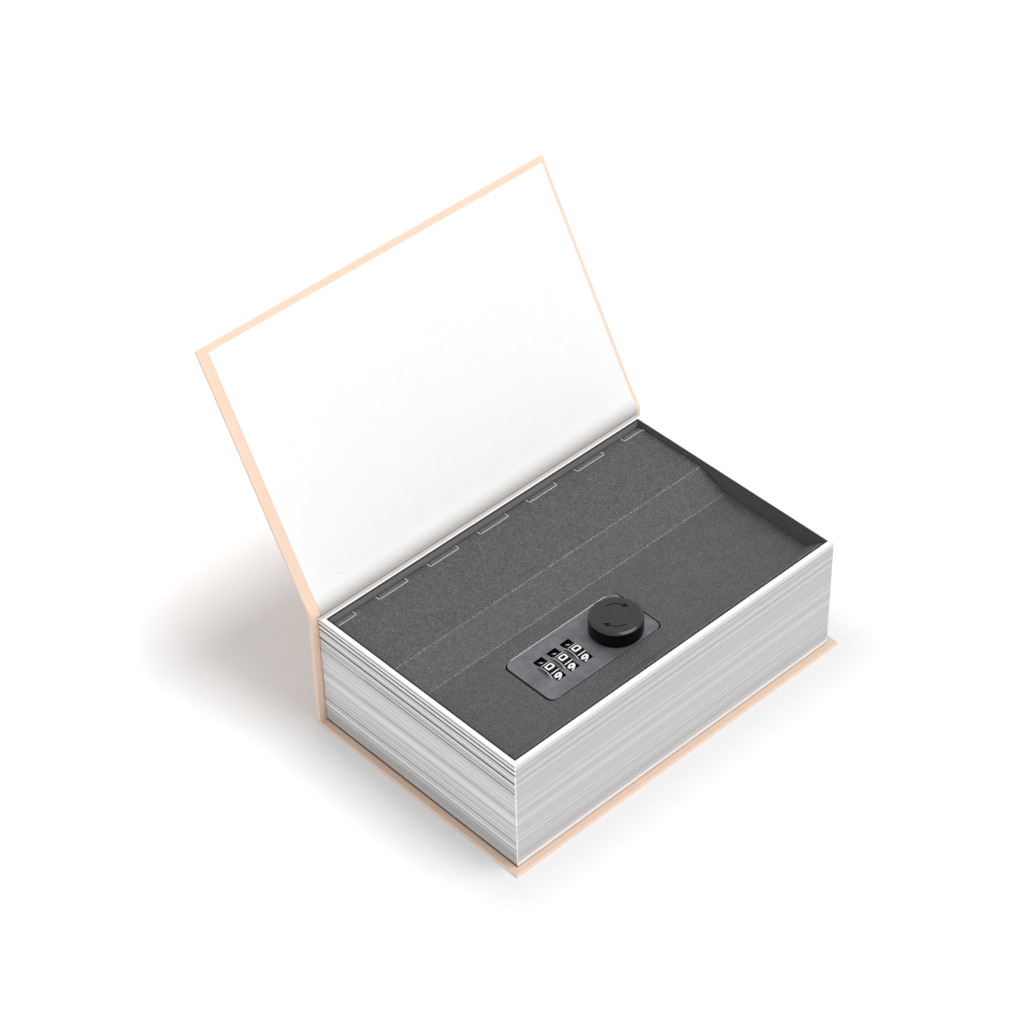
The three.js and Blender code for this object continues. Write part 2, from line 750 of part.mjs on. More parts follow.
function addCoverScrews(lock) {
  const headTop = coverPlateBottom - glueLine;
  const shankZ = [headTop - screwHeadHeight / 2, housingBottom + screwDepth - axleGap];
  const screws = screwPlaces((x, y) => join(
    rodZ(screwHeadRadius, x, y, [headTop - screwHeadHeight, headTop], smallSides),
    rodZ(screwRadius, x, y, shankZ, smallSides),
  ));
  screws.forEach((screw, i) => piece(lock, `lock_cover_screw_${i + 1}`, screw, material.zincSteel));
}

function addAxle(lock) {
  const xRange = [chamberStartX - axleSeat + axleGap, driveStartX - axleEndWall - axleGap];
  piece(lock, 'wheel_axle', rodX(axleRadius, xRange, 0, wheelAxisZ), material.zincSteel);
}

function addClickSpring(lock) {
  const footZ = housingBottom + springFloorGap;
  const bump = -wheelRadius - springStandOff;
  const profile = sheetOutline([
    [springFaceY, footZ],
    [springFaceY, wheelAxisZ - springBumpHalf],
    [bump, wheelAxisZ],
    [springFaceY, wheelAxisZ + springBumpHalf],
    [springFaceY, wheelAxisZ + springTopRise],
  ], springSheet);
  const half = wheelWidth / 2 - springFingerInset;
  const fingers = repeat(wheelCount, (i) => {
    const x = firstWheelX + i * wheelPitch;
    return prismX(profile, [x - half, x + half]);
  });
  const foot = block(
    [firstWheelX - half, lastWheelX + half],
    [springFaceY - springSheet, springFaceY],
    [footZ, footZ + springFoot],
  );
  piece(lock, 'wheel_click_spring', join(foot, ...fingers), material.zincSteel);
}

// Dial wheel with a shallow groove between digits, and the notched sleeve that it carries
function wheelOutline() {
  const step = 2 * Math.PI / digitCount;
  const half = wheelGrooveHalfWidth / wheelRadius;
  const points = repeat(digitCount, (i) => {
    const groove = (i + 1 / 2) * step;
    const land = step - 2 * half;
    const arc = repeat(wheelArcSteps + 1, (k) => [wheelRadius, groove + half + land * k / wheelArcSteps]);
    return [[wheelRadius - wheelGrooveDepth, groove], ...arc];
  }).flat();
  return outline(points.map(([radius, angle]) => [
    radius * Math.sin(angle),
    wheelAxisZ + radius * Math.cos(angle),
  ]).reverse());
}

function sleeve(x) {
  const flange = cut(
    rodX(flangeRadius, [flangeStart, flangeStart + flangeThickness], 0, wheelAxisZ),
    block(
      [flangeStart - cutOverrun, flangeStart + flangeThickness + cutOverrun],
      [flangeNotchRoot, flangeRadius + cutOverrun],
      [wheelAxisZ - flangeNotchHalfWidth, wheelAxisZ + flangeNotchHalfWidth],
    ),
  );
  const tube = rodX(sleeveRadius, [-wheelWidth / 2, flangeStart + flangeThickness], 0, wheelAxisZ);
  const bore = rodX(sleeveBore, [-wheelPitch, wheelPitch], 0, wheelAxisZ);
  return cut(join(tube, flange), bore).translate(x, 0, 0);
}

function addWheels(lock) {
  const bore = rodX(wheelBore, [-wheelPitch, wheelPitch], 0, wheelAxisZ);
  const wheel = cut(prismX(wheelOutline(), [-wheelWidth / 2, wheelWidth / 2]), bore);
  repeat(wheelCount, (i) => {
    const x = firstWheelX + i * wheelPitch;
    piece(lock, `dial_wheel_${i + 1}`, wheel.clone().translate(x, 0, 0), material.blackPlastic);
    return piece(lock, `code_sleeve_${i + 1}`, sleeve(x), material.brass);
  });
}

// Fence bar: a finger for each sleeve, and a yoke round the spindle's eccentric
function addFence(lock) {
  const zRange = [fenceBottomZ, fenceTopZ];
  const bar = block([firstWheelX + fingerStart, yokeX], [fenceInnerY, fenceOuterY], zRange);
  const fingers = repeat(wheelCount, (i) => {
    const x = firstWheelX + i * wheelPitch + fingerStart;
    return block([x, x + fingerThickness], [fingerTip, fenceOuterY], zRange);
  });
  const yoke = block(
    [yokeX - yokeOuterHalfX, yokeX + yokeOuterHalfX],
    [yokeLowY - yokeFrame, fenceOuterY],
    zRange,
  );
  const window = block(
    [yokeX - yokeHalfX, yokeX + yokeHalfX],
    [yokeLowY, yokeHighY],
    [fenceBottomZ - cutOverrun, fenceTopZ + cutOverrun],
  );
  piece(lock, 'fence_bar', cut(join(bar, yoke, ...fingers), window), material.brass);
}

function addCodeChangeSlide(lock) {
  const blockZ = coverPlateTop + slideNeckGap;
  const tabZ = coverPlateBottom - slideNeckGap;
  const around = (centre, size) => [centre - size / 2, centre + size / 2];
  const x = around(slideX, slideBlockWidth);
  const slide = join(
    block(x, around(slideY, slideBlockLength), [blockZ, blockZ + slideBlockHeight]),
    block(around(slideX, slideNeck), around(slideY, slideNeck), [tabZ, blockZ]),
    block(x, around(slideY, slideTabLength), [tabZ - slideTabHeight, tabZ]),
  );
  piece(lock, 'code_change_slide', slide, material.zincSteel);
}

// Knob, its spindle, and the latch cam below the lock
function addKnob(lock) {
  const bottom = knobGap;
  const top = knobGap + knobHeight;
  const profile = [
    [0, top - knobRoof],
    [knobBore, top - knobRoof],
    [knobBore, bottom],
    [knobRadius, bottom],
    [knobRadius, top - knobBevelDrop],
    [knobRadius - knobBevelWidth, top],
    [0, top],
  ].map(([radius, z]) => new THREE.Vector2(radius, z));
  const knob = new THREE.LatheGeometry(profile, knobSides).rotateX(Math.PI / 2);
  piece(lock, 'knob', cut(knob.translate(knobX, knobY, 0)), material.blackPlastic);
}

function addSpindle(lock) {
  const shoulder = coverPlateBottom - camShoulder;
  const squareEnd = washerTop + glueLine + axleGap;
  const nutBottom = camNutTop - camNutHeight;
  const half = camSquare / 2;
  const spindle = join(
    rodZ(spindleRadius, knobX, knobY, [shoulder, knobGap + knobHeight - knobRoof - knobSpindleGap]),
    rodZ(
      eccentricRadius,
      knobX + eccentricOffset,
      knobY + eccentricOffset,
      [fenceBottomZ - eccentricSideGap, fenceTopZ + eccentricSideGap],
    ),
    block([knobX - half, knobX + half], [knobY - half, knobY + half], [squareEnd, shoulder]),
    rodZ(threadRadius, knobX, knobY, [nutBottom - threadEnd, squareEnd], smallSides),
  );
  piece(lock, 'knob_spindle', spindle, material.zincSteel);
}

function addLatchCam(lock) {
  const half = camSquare / 2 + camSquareGap;
  const zRange = [camTop - camThickness, camTop];
  const cutZ = [camTop - camThickness - cutOverrun, camTop + cutOverrun];
  const cam = cut(
    join(
      rodZ(camHubRadius, knobX, knobY, zRange),
      block([knobX - camReach, knobX], [knobY - camHalfWidth, knobY + camHalfWidth], zRange),
    ),
    block([knobX - half, knobX + half], [knobY - half, knobY + half], cutZ),
  );
  piece(lock, 'latch_cam', cam, material.zincSteel);
}

function ringOnThread(radius, top, height, sides) {
  const bottom = top - height;
  const holeZ = [bottom - cutOverrun, top + cutOverrun];
  const hole = rodZ(threadRadius + threadGap, knobX, knobY, holeZ, smallSides);
  return cut(rodZ(radius, knobX, knobY, [bottom, top], sides), hole);
}

function addCamFasteners(lock) {
  const washer = ringOnThread(washerRadius, washerTop, washerThickness, roundSides);
  piece(lock, 'cam_washer', washer, material.zincSteel);
  const nut = ringOnThread(camNutCircumradius, camNutTop, camNutHeight, hexSides);
  piece(lock, 'cam_nut', nut, material.zincSteel);
}

function addLock(part) {
  const lock = new THREE.Group();
  lock.name = 'lock';
  lock.position.set(lockOffsetX, lockY, lockZ);
  part.add(lock);
  addFaceplate(lock);
  addHousing(lock);
  addBackPlate(lock);
  addCoverScrews(lock);
  addLidFasteners(lock);
  addAxle(lock);
  addClickSpring(lock);
  addWheels(lock);
  addFence(lock);
  addCodeChangeSlide(lock);
  addKnob(lock);
  addSpindle(lock);
  addLatchCam(lock);
  addCamFasteners(lock);
}

const part = new THREE.Group();
part.name = 'book_diversion_safe';
addBackCover(part);
addSpine(part);
addPageBlock(part);
addSteelBox(part);
addHinge(part);
addStrike(part);
addLidRests(part);
addFrontCover(part);
addLid(part);
addLock(part);
export default part;
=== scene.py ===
# Looks of a hardback book that hides a steel cash box.
# X runs along the spine, -Y is the fore-edge, +Z is up.
# Lengths are in metres, unless a comment says otherwise.
# Noise scales are in waves to the metre.

import json
import math
import random

import bmesh
import bpy
from mathutils import Matrix, Vector, geometry, noise


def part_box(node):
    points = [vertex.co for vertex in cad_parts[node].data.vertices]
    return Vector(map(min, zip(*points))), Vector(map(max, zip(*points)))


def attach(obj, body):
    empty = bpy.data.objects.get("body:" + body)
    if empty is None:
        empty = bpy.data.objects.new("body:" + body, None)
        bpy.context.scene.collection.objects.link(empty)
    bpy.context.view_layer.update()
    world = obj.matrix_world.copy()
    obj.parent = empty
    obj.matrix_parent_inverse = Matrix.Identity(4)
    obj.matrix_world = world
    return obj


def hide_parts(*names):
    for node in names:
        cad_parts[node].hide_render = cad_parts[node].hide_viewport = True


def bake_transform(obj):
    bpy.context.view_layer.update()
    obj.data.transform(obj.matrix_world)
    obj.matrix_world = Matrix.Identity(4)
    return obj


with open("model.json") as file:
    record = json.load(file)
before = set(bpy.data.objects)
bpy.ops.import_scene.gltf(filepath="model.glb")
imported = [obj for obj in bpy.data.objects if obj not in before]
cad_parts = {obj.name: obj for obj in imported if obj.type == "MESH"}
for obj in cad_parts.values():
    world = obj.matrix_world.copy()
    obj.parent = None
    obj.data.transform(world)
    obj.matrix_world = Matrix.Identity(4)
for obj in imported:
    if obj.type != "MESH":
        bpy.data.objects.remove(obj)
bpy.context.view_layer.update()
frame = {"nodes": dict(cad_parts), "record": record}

MM = 0.001
HALF_COVER = 90 * MM
FORE_EDGE_Y = -57.7 * MM
SPINE_INNER_Y = 55.9 * MM
SPINE_OUTER_Y = 58.0 * MM
TURN_IN_TOP_Z = 1.35 * MM
RIM_TOP_Z = 56.8 * MM
PAGE_WALL = 1.75 * MM
BINDING_WALL = 2.55 * MM

# The open front cover: its hinge line, its angle, the way it rises and the way its outer face looks
COVER_AXIS = Vector((0, 56.7, 57.7)) * MM
COVER_TURN = math.radians(60.5)
COVER_RISE = Vector((0, math.cos(COVER_TURN), math.sin(COVER_TURN)))
COVER_OUTWARD = Vector((0, COVER_RISE.z, -COVER_RISE.y))
COVER_DEPTH = 114.4 * MM
JOINT_END = 9 * MM
JOINT_STEPS = 14
OPEN_DEPTH_Y = 113 * MM

# Along Y: the box's back wall and the lid's hinge notches, front rise and lip
BACK_WALL_Y = 50 * MM
LID_NOTCH_Y = 47.5 * MM
LID_RISE_Y = (-50.6 * MM, -42.9 * MM)
LID_LIP_Y = -50.5 * MM

# The middle of the lock's plate, the dial wheels with their print, its turns in degrees, and the knob
LOCK = Vector((-19.3, -21.6, 49.0)) * MM
WHEEL_PITCH = 7.1 * MM
FIRST_WHEEL_X = LOCK.x - 18.1 * MM
WHEEL_AXIS_Z = LOCK.z - 7.2 * MM
WHEEL_RADIUS = 8.5 * MM
DIGIT_SIZE = (3.6 * MM, 2.75 * MM)
DIGIT_STEP = 36
DIGIT_LINE_SIZE = (4.1 * MM, 0.36 * MM)
DIGIT_LINE_TURN = 15.5
KNOB = LOCK + Vector((15.4, -2.2, 0)) * MM
KNOB_RISE = 7.5 * MM


# Node trees

def add(tree, kind, sockets=None, **settings):
    """A shader node with its settings, and a value or a link for each socket given."""
    made = tree.nodes.new(kind)
    for name, value in settings.items():
        setattr(made, name, value)
    for name, value in (sockets or {}).items():
        if isinstance(value, bpy.types.NodeSocket):
            tree.links.new(value, made.inputs[name])
        else:
            made.inputs[name].default_value = value
    return made


def math_node(tree, operation, a, b=0.0):
    return add(tree, "ShaderNodeMath", {0: a, 1: b}, operation=operation).outputs[0]


def times(tree, value, *others):
    for other in others:
        value = math_node(tree, "MULTIPLY", value, other)
    return value


def weighted_sum(tree, *parts):
    """The sum of values, each taken by its own share."""
    total, *others = [times(tree, value, share) for value, share in parts]
    for other in others:
        total = math_node(tree, "ADD", total, other)
    return total


def blend_colours(tree, share, a, b):
    return add(tree, "ShaderNodeMix", {0: share, 6: a, 7: b}, data_type="RGBA").outputs[2]


def spread(tree, value, low, high, to_low=0.0, to_high=1.0):
    """A value stretched from one range to another, and held inside it."""
    sockets = {"Value": value, "From Min": low, "From Max": high, "To Min": to_low, "To Max": to_high}
    return add(tree, "ShaderNodeMapRange", sockets).outputs["Result"]


def object_place(tree, scale=(1, 1, 1)):
    place = add(tree, "ShaderNodeTexCoord").outputs["Object"]
    return add(tree, "ShaderNodeMapping", {"Vector": place, "Scale": scale}).outputs["Vector"]


def place_parts(tree):
    """The X, Y and Z of a place on the object, in metres."""
    place = add(tree, "ShaderNodeTexCoord").outputs["Object"]
    return add(tree, "ShaderNodeSeparateXYZ", {"Vector": place}).outputs


def noise_at(tree, place, scale, detail=2.0, roughness=0.5):
    sockets = {"Vector": place, "Scale": scale, "Detail": detail, "Roughness": roughness}
    return add(tree, "ShaderNodeTexNoise", sockets).outputs["Fac"]


def srgb(red, green, blue):
    """A colour as a picture shows it, 0 to 255, in the linear values that a node takes."""
    def linear(value):
        share = value / 255
        return share / 12.92 if share <= 0.04045 else ((share + 0.055) / 1.055) ** 2.4
    return (linear(red), linear(green), linear(blue), 1)


def grey(level):
    return srgb(level, level, level)


def node_group(name, inputs, outputs):
    tree = bpy.data.node_groups.new(name, "ShaderNodeTree")
    for label, kind, value in inputs:
        socket = tree.interface.new_socket(name=label, in_out="INPUT", socket_type=kind)
        socket.default_value = value
    for label, kind in outputs:
        tree.interface.new_socket(name=label, in_out="OUTPUT", socket_type=kind)
    return tree, add(tree, "NodeGroupInput").outputs, add(tree, "NodeGroupOutput")


def feed(tree, group_output, **values):
    for name, value in values.items():
        tree.links.new(value, group_output.inputs[name])


# Effects that several materials share

def make_edge_mask():
    """White along outer edges, where paint thins and paper rubs, and as painted highlights where edges catch
    the light, within a radius.
    """
    tree, given, made = node_group(
        "edge_mask",
        [
            ("Radius", "NodeSocketFloat", 0.0003),
            ("Patchiness", "NodeSocketFloat", 0.5),
            ("Full Turn", "NodeSocketFloat", 0.25),
        ],
        [("Mask", "NodeSocketFloat")],
    )
    rounded = add(tree, "ShaderNodeBevel", {"Radius": given["Radius"]}, samples=6).outputs["Normal"]
    flat = add(tree, "ShaderNodeNewGeometry").outputs["Normal"]
    dot = add(tree, "ShaderNodeVectorMath", {0: rounded, 1: flat}, operation="DOT_PRODUCT").outputs["Value"]
    turn = spread(tree, math_node(tree, "SUBTRACT", 1.0, dot), 0.02, given["Full Turn"])
    patches = spread(tree, noise_at(tree, object_place(tree), 900.0, 3.0), 0.35, 0.65)
    kept = math_node(tree, "SUBTRACT", 1.0, times(tree, patches, given["Patchiness"]))
    feed(tree, made, Mask=times(tree, turn, kept))
    return tree


def make_powder_texture():
    """The pebbled skin of powder coat: fine specks over a wider mottle."""
    tree, given, made = node_group(
        "powder_texture",
        [
            ("Colour", "NodeSocketColor", grey(90)),
            ("Fleck", "NodeSocketColor", grey(120)),
            ("Speck Scale", "NodeSocketFloat", 1500.0),
            ("Contrast", "NodeSocketFloat", 1.0),
        ],
        [("Colour", "NodeSocketColor"), ("Height", "NodeSocketFloat"), ("Roughness", "NodeSocketFloat")],
    )
    place = object_place(tree)
    specks = noise_at(tree, place, given["Speck Scale"], 3.0, 0.6)
    mottle = noise_at(tree, place, 420.0, 2.0)
    cells = {"Vector": place, "Scale": given["Speck Scale"]}
    pebbles = add(tree, "ShaderNodeTexVoronoi", cells, feature="SMOOTH_F1").outputs["Distance"]
    bright = times(tree, spread(tree, specks, 0.52, 0.72), given["Contrast"])
    dark = times(tree, spread(tree, specks, 0.46, 0.3, 0.0, 0.45), given["Contrast"])
    wide = times(tree, spread(tree, mottle, 0.35, 0.7, 0.0, 0.16), given["Contrast"])
    shaded = blend_colours(tree, dark, given["Colour"], grey(34))
    clouded = blend_colours(tree, wide, shaded, given["Fleck"])
    feed(
        tree,
        made,
        Colour=blend_colours(tree, bright, clouded, given["Fleck"]),
        Height=math_node(tree, "SUBTRACT", specks, times(tree, pebbles, 0.4)),
        Roughness=spread(tree, specks, 0.3, 0.7, 0.42, 0.62),
    )
    return tree


def make_paper_fibre():
    """Soft cloudiness and short fibres of paper."""
    tree, given, made = node_group(
        "paper_fibre",
        [
            ("Colour", "NodeSocketColor", grey(240)),
            ("Shade", "NodeSocketColor", grey(220)),
            ("Strength", "NodeSocketFloat", 0.3),
        ],
        [("Colour", "NodeSocketColor"), ("Height", "NodeSocketFloat")],
    )
    clouds = noise_at(tree, object_place(tree), 140.0, 4.0)
    fibres = noise_at(tree, object_place(tree, (1, 4, 4)), 1600.0, 3.0, 0.65)
    mixed = weighted_sum(tree, (clouds, 0.4), (fibres, 0.6))
    share = times(tree, spread(tree, mixed, 0.4, 0.62), given["Strength"])
    feed(tree, made, Colour=blend_colours(tree, share, given["Colour"], given["Shade"]), Height=fibres)
    return tree


def make_metal_grain():
    """Drawn or rolled grain along one direction, with soft clouds."""
    tree, given, made = node_group(
        "metal_grain",
        [
            ("Colour", "NodeSocketColor", grey(180)),
            ("Shade", "NodeSocketColor", grey(150)),
            ("Stretch", "NodeSocketVector", (0.05, 1, 1)),
            ("Scale", "NodeSocketFloat", 3000.0),
        ],
        [("Colour", "NodeSocketColor"), ("Height", "NodeSocketFloat"), ("Roughness", "NodeSocketFloat")],
    )
    place = add(tree, "ShaderNodeTexCoord").outputs["Object"]
    drawn = add(tree, "ShaderNodeMapping", {"Vector": place, "Scale": given["Stretch"]}).outputs["Vector"]
    grain = noise_at(tree, drawn, given["Scale"], 3.0, 0.6)
    clouds = noise_at(tree, place, 160.0, 3.0)
    share = times(tree, math_node(tree, "ADD", grain, clouds), 0.5)
    feed(
        tree,
        made,
        Colour=blend_colours(tree, spread(tree, share, 0.38, 0.64), given["Colour"], given["Shade"]),
        Height=grain,
        Roughness=spread(tree, share, 0.35, 0.65, -0.06, 0.08),
    )
    return tree


def layer_tone(tree, level, thickness):
    """A random value for each layer of a thickness in millimetres."""
    layer = math_node(tree, "FLOOR", math_node(tree, "DIVIDE", level, thickness))
    return add(tree, "ShaderNodeTexWhiteNoise", {"W": layer}, noise_dimensions="1D").outputs["Value"]


# Thicknesses of the layers that page edges are drawn in, in millimetres
SHEET, LEAVES, BUNDLE = 0.42, 0.95, 2.9

# Lines across the page edges: millimetres down from the rim, half width and strength
RIM_GAPS = ((1.25, 0.22, 0.9), (3.5, 0.26, 1.0), (5.8, 0.26, 1.0), (7.3, 0.1, 0.4), (10.6, 0.3, 0.9))
RIM_SHEETS = ((0.5, 0.4, 1.0), (2.3, 0.3, 1.0), (4.6, 0.25, 0.5), (7.9, 0.2, 0.5), (11.5, 0.25, 0.9))
FORE_FOOT = ((54.1, 0.9, 1.0), (51.9, 0.2, 0.5))
FORE_GAP = ((9.8, 0.12, 0.5),)

# Steps of the page bundles under the rim: millimetres down from it, and depth
RIM_STEPS = ((6.05, 0.6), (5.55, 0.1), (3.75, 0.6), (3.25, 0.1), (1.45, 0.35), (1.05, 0.0))

PAGE_WHITE = grey(252)


def line_at(tree, down, marks):
    """White at each of the given depths, black elsewhere."""
    blur = 0.14
    mask = 0.0
    for depth, half_width, share in marks:
        away = math_node(tree, "ABSOLUTE", math_node(tree, "SUBTRACT", down, depth))
        mask = math_node(tree, "MAXIMUM", spread(tree, away, half_width + blur, half_width, 0.0, share), mask)
    return mask


def make_page_lines():
    """Edges of pages as crisp layers across Z: pale and grey sheets, dark gaps near the rim, white sheets,
    and painted shade towards the foot.
    """
    tree, given, made = node_group(
        "page_lines",
        [
            ("Paper", "NodeSocketColor", grey(236)),
            ("Gap", "NodeSocketColor", grey(150)),
            ("Strength", "NodeSocketFloat", 1.0),
            ("Rim Gaps", "NodeSocketFloat", 1.0),
        ],
        [("Colour", "NodeSocketColor"), ("Height", "NodeSocketFloat"), ("Down", "NodeSocketFloat")],
    )
    place = add(tree, "ShaderNodeTexCoord").outputs["Object"]
    height = add(tree, "ShaderNodeSeparateXYZ", {"Vector": place}).outputs["Z"]
    level = times(tree, height, 1 / MM)
    down = math_node(tree, "SUBTRACT", RIM_TOP_Z / MM, level)
    bend = times(tree, noise_at(tree, place, 8.0, 1.0), 1.6)
    bent = math_node(tree, "ADD", level, bend)
    twice_bent = math_node(tree, "ADD", level, times(tree, bend, 2.0))
    sheet = layer_tone(tree, bent, SHEET)
    leaves = layer_tone(tree, bent, LEAVES)
    bundle = layer_tone(tree, twice_bent, BUNDLE)
    mixed = weighted_sum(tree, (sheet, 0.4), (leaves, 0.35), (bundle, 0.25))
    calm_rim = spread(tree, down, 2.2, 3.0, 0.4, 1.0)
    body = times(tree, spread(tree, mixed, 0.2, 0.8), given["Strength"], calm_rim)
    white = math_node(tree, "GREATER_THAN", sheet, 0.84)
    white = times(tree, white, spread(tree, down, 6.0, 9.0), given["Strength"])
    rim_sheets = times(tree, line_at(tree, down, RIM_SHEETS), given["Rim Gaps"])
    white = math_node(tree, "MAXIMUM", white, rim_sheets)
    dark = times(tree, math_node(tree, "GREATER_THAN", leaves, 0.88), 0.5, given["Strength"])
    dark = math_node(tree, "MAXIMUM", dark, line_at(tree, down, RIM_GAPS))
    dark = times(tree, dark, given["Rim Gaps"])
    # Painted shade: a grey band low on the block, and darker still where the cover meets it.
    foot_shade = times(tree, spread(tree, down, 48.6, 49.6), 0.8)
    cover_shade = spread(tree, down, 54.6, 55.8, 0.0, 0.6)
    tone = blend_colours(tree, body, given["Paper"], given["Gap"])
    tone = blend_colours(tree, white, tone, PAGE_WHITE)
    tone = blend_colours(tree, dark, tone, grey(62))
    tone = blend_colours(tree, foot_shade, tone, grey(190))
    tone = blend_colours(tree, cover_shade, tone, srgb(132, 120, 110))
    feed(tree, made, Colour=tone, Height=math_node(tree, "SUBTRACT", 1.0, mixed), Down=down)
    return tree


EDGE_MASK = make_edge_mask()
POWDER_TEXTURE = make_powder_texture()
PAPER_FIBRE = make_paper_fibre()
METAL_GRAIN = make_metal_grain()
PAGE_LINES = make_page_lines()


def new_material(name, **constants):
    """A material with a plain surface shader, its fixed values set on the shader's own sockets."""
    finish = bpy.data.materials.new(name)
    finish.use_nodes = True
    shader = finish.node_tree.nodes["Principled BSDF"]
    for socket, value in constants.items():
        shader.inputs[socket.replace("_", " ")].default_value = value
    return finish.node_tree, shader, finish


def use_group(tree, group, sockets):
    made = add(tree, "ShaderNodeGroup", node_tree=group)
    for name, value in sockets.items():
        made.inputs[name].default_value = value
    return made.outputs


def link(tree, shader, **values):
    for name, value in values.items():
        tree.links.new(value, shader.inputs[name.replace("_", " ")])


def bump(tree, height, distance, strength=1.0):
    sockets = {"Height": height, "Distance": distance, "Strength": strength}
    return add(tree, "ShaderNodeBump", sockets).outputs["Normal"]


# Pale edges for real wear, and for painted edge highlights.
def worn_edge(tree, radius, patchiness, colour, edge_colour, amount, full_turn=0.25):
    """A colour that gives way to an edge's own near it, fully where the normal turns by full_turn."""
    sockets = {"Radius": radius, "Patchiness": patchiness, "Full Turn": full_turn}
    mask = use_group(tree, EDGE_MASK, sockets)["Mask"]
    return blend_colours(tree, times(tree, mask, amount), colour, edge_colour)


# Materials

def make_cover_paper():
    """Peach printed paper, with painted shade on the turn-in's top and a painted highlight, drawn as pale
    rubbed paper, along its edges.
    """
    tree, shader, finish = new_material("cover_paper", Roughness=0.5, Coat_Weight=0.12, Coat_Roughness=0.25)
    peach = {"Colour": srgb(250, 221, 199), "Shade": srgb(243, 207, 182), "Strength": 0.45}
    turn_in_shade_tone = srgb(224, 196, 174)
    rubbed_highlight_tone = srgb(254, 242, 228)
    paper = use_group(tree, PAPER_FIBRE, peach)
    # Painted shade on the turn-in's top, where the page block shades it.
    above_turn_in = math_node(tree, "SUBTRACT", place_parts(tree)["Z"], TURN_IN_TOP_Z)
    from_turn_in = math_node(tree, "ABSOLUTE", above_turn_in)
    turn_in_shade = spread(tree, from_turn_in, 0.14 * MM, 0.08 * MM)
    tone = blend_colours(tree, turn_in_shade, paper["Colour"], turn_in_shade_tone)
    # Painted highlight along the paper's edges, drawn as rubbed paper.
    colour = worn_edge(tree, 0.8 * MM, 0.2, tone, rubbed_highlight_tone, 1.0)
    link(tree, shader, Base_Color=colour, Normal=bump(tree, paper["Height"], 0.02 * MM, 0.5))
    return finish


def make_endpaper():
    tree, shader, finish = new_material("endpaper", Roughness=0.75)
    paper = use_group(tree, PAPER_FIBRE, {"Colour": grey(252), "Shade": grey(246), "Strength": 0.5})
    joint_shade_tone = srgb(200, 196, 193)
    # Painted shade in the joint, read from a value stored on the sheet's vertices.
    joint_shade = add(tree, "ShaderNodeAttribute", attribute_name="joint_shade").outputs["Fac"]
    tone = blend_colours(tree, joint_shade, paper["Colour"], joint_shade_tone)
    link(tree, shader, Base_Color=tone, Normal=bump(tree, paper["Height"], 0.01 * MM, 0.4))
    return finish


def make_greyboard():
    tree, shader, finish = new_material("greyboard", Roughness=0.95)
    pulp = {"Colour": srgb(168, 158, 142), "Shade": srgb(126, 118, 104), "Strength": 0.8}
    board = use_group(tree, PAPER_FIBRE, pulp)
    link(tree, shader, Base_Color=board["Colour"], Normal=bump(tree, board["Height"], 0.05 * MM))
    return finish


def make_page_edges(name, paper, gap, strength, rim_gaps, softness):
    """Page edges, with a painted highlight along the block's front corners, and where soft also with a white
    rim and foot.
    """
    tree, shader, finish = new_material(name, Roughness=0.6)
    sockets = {"Paper": paper, "Gap": gap, "Strength": strength, "Rim Gaps": rim_gaps}
    lines = use_group(tree, PAGE_LINES, sockets)
    parts = place_parts(tree)
    low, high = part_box("page_block")
    # Painted highlight along the corners between the ends and the fore-edge.
    near, far = 0.4 * MM, 0.55 * MM
    at_end = spread(tree, math_node(tree, "ABSOLUTE", parts["X"]), high.x - far, high.x - near)
    at_front = spread(tree, parts["Y"], low.y + far, low.y + near)
    soft = spread(tree, lines["Down"], 3.6, 0.6)
    soft = math_node(tree, "MAXIMUM", soft, line_at(tree, lines["Down"], FORE_FOOT))
    white = math_node(tree, "MAXIMUM", times(tree, at_end, at_front), times(tree, soft, softness))
    tone = blend_colours(tree, white, lines["Colour"], PAGE_WHITE)
    gap_line = times(tree, line_at(tree, lines["Down"], FORE_GAP), softness)
    tone = blend_colours(tree, gap_line, tone, grey(90))
    link(tree, shader, Base_Color=tone, Normal=bump(tree, lines["Height"], 0.05 * MM, 0.6))
    return finish


def make_rim_paper():
    """The rim's white paper, with painted shade on its bound side and in the groove before the spine."""
    tree, shader, finish = new_material("page_rim", Roughness=0.6)
    paper = use_group(tree, PAPER_FIBRE, {"Colour": grey(251), "Shade": grey(242), "Strength": 0.4})
    bound_shade_tone = srgb(204, 198, 195)
    groove_shade_tone = srgb(120, 114, 112)
    y = place_parts(tree)["Y"]
    # Painted shade on the bound side, darker in the groove.
    bound = spread(tree, y, 53.5 * MM, 53.7 * MM)
    groove = spread(tree, y, 55.1 * MM, 55.3 * MM)
    tone = blend_colours(tree, bound, paper["Colour"], bound_shade_tone)
    tone = blend_colours(tree, groove, tone, groove_shade_tone)
    link(tree, shader, Base_Color=tone, Normal=bump(tree, paper["Height"], 0.01 * MM, 0.4))
    return finish


def thin_coat(tree, colour):
    """Painted highlights at the lid's hinge notches and round the back of the lock's cut-out, drawn as powder
    coat worn pale.
    """
    half_width = 25.5 * MM
    fades_in, full, ends = 9 * MM, 11 * MM, 15 * MM
    parts = place_parts(tree)
    beside = math_node(tree, "ABSOLUTE", math_node(tree, "SUBTRACT", parts["X"], LOCK.x))
    behind = math_node(tree, "SUBTRACT", parts["Y"], LOCK.y)
    at_lock = times(
        tree,
        math_node(tree, "LESS_THAN", beside, half_width),
        spread(tree, behind, fades_in, full),
        math_node(tree, "LESS_THAN", behind, ends),
    )
    at_notch = math_node(tree, "GREATER_THAN", parts["Y"], LID_NOTCH_Y)
    on_top = math_node(tree, "GREATER_THAN", parts["Z"], LOCK.z - 0.36 * MM)
    share = times(tree, math_node(tree, "MAXIMUM", at_notch, at_lock), on_top)
    # Painted highlight along these edges.
    return worn_edge(tree, 0.9 * MM, 0.15, colour, grey(240), share, 0.06)


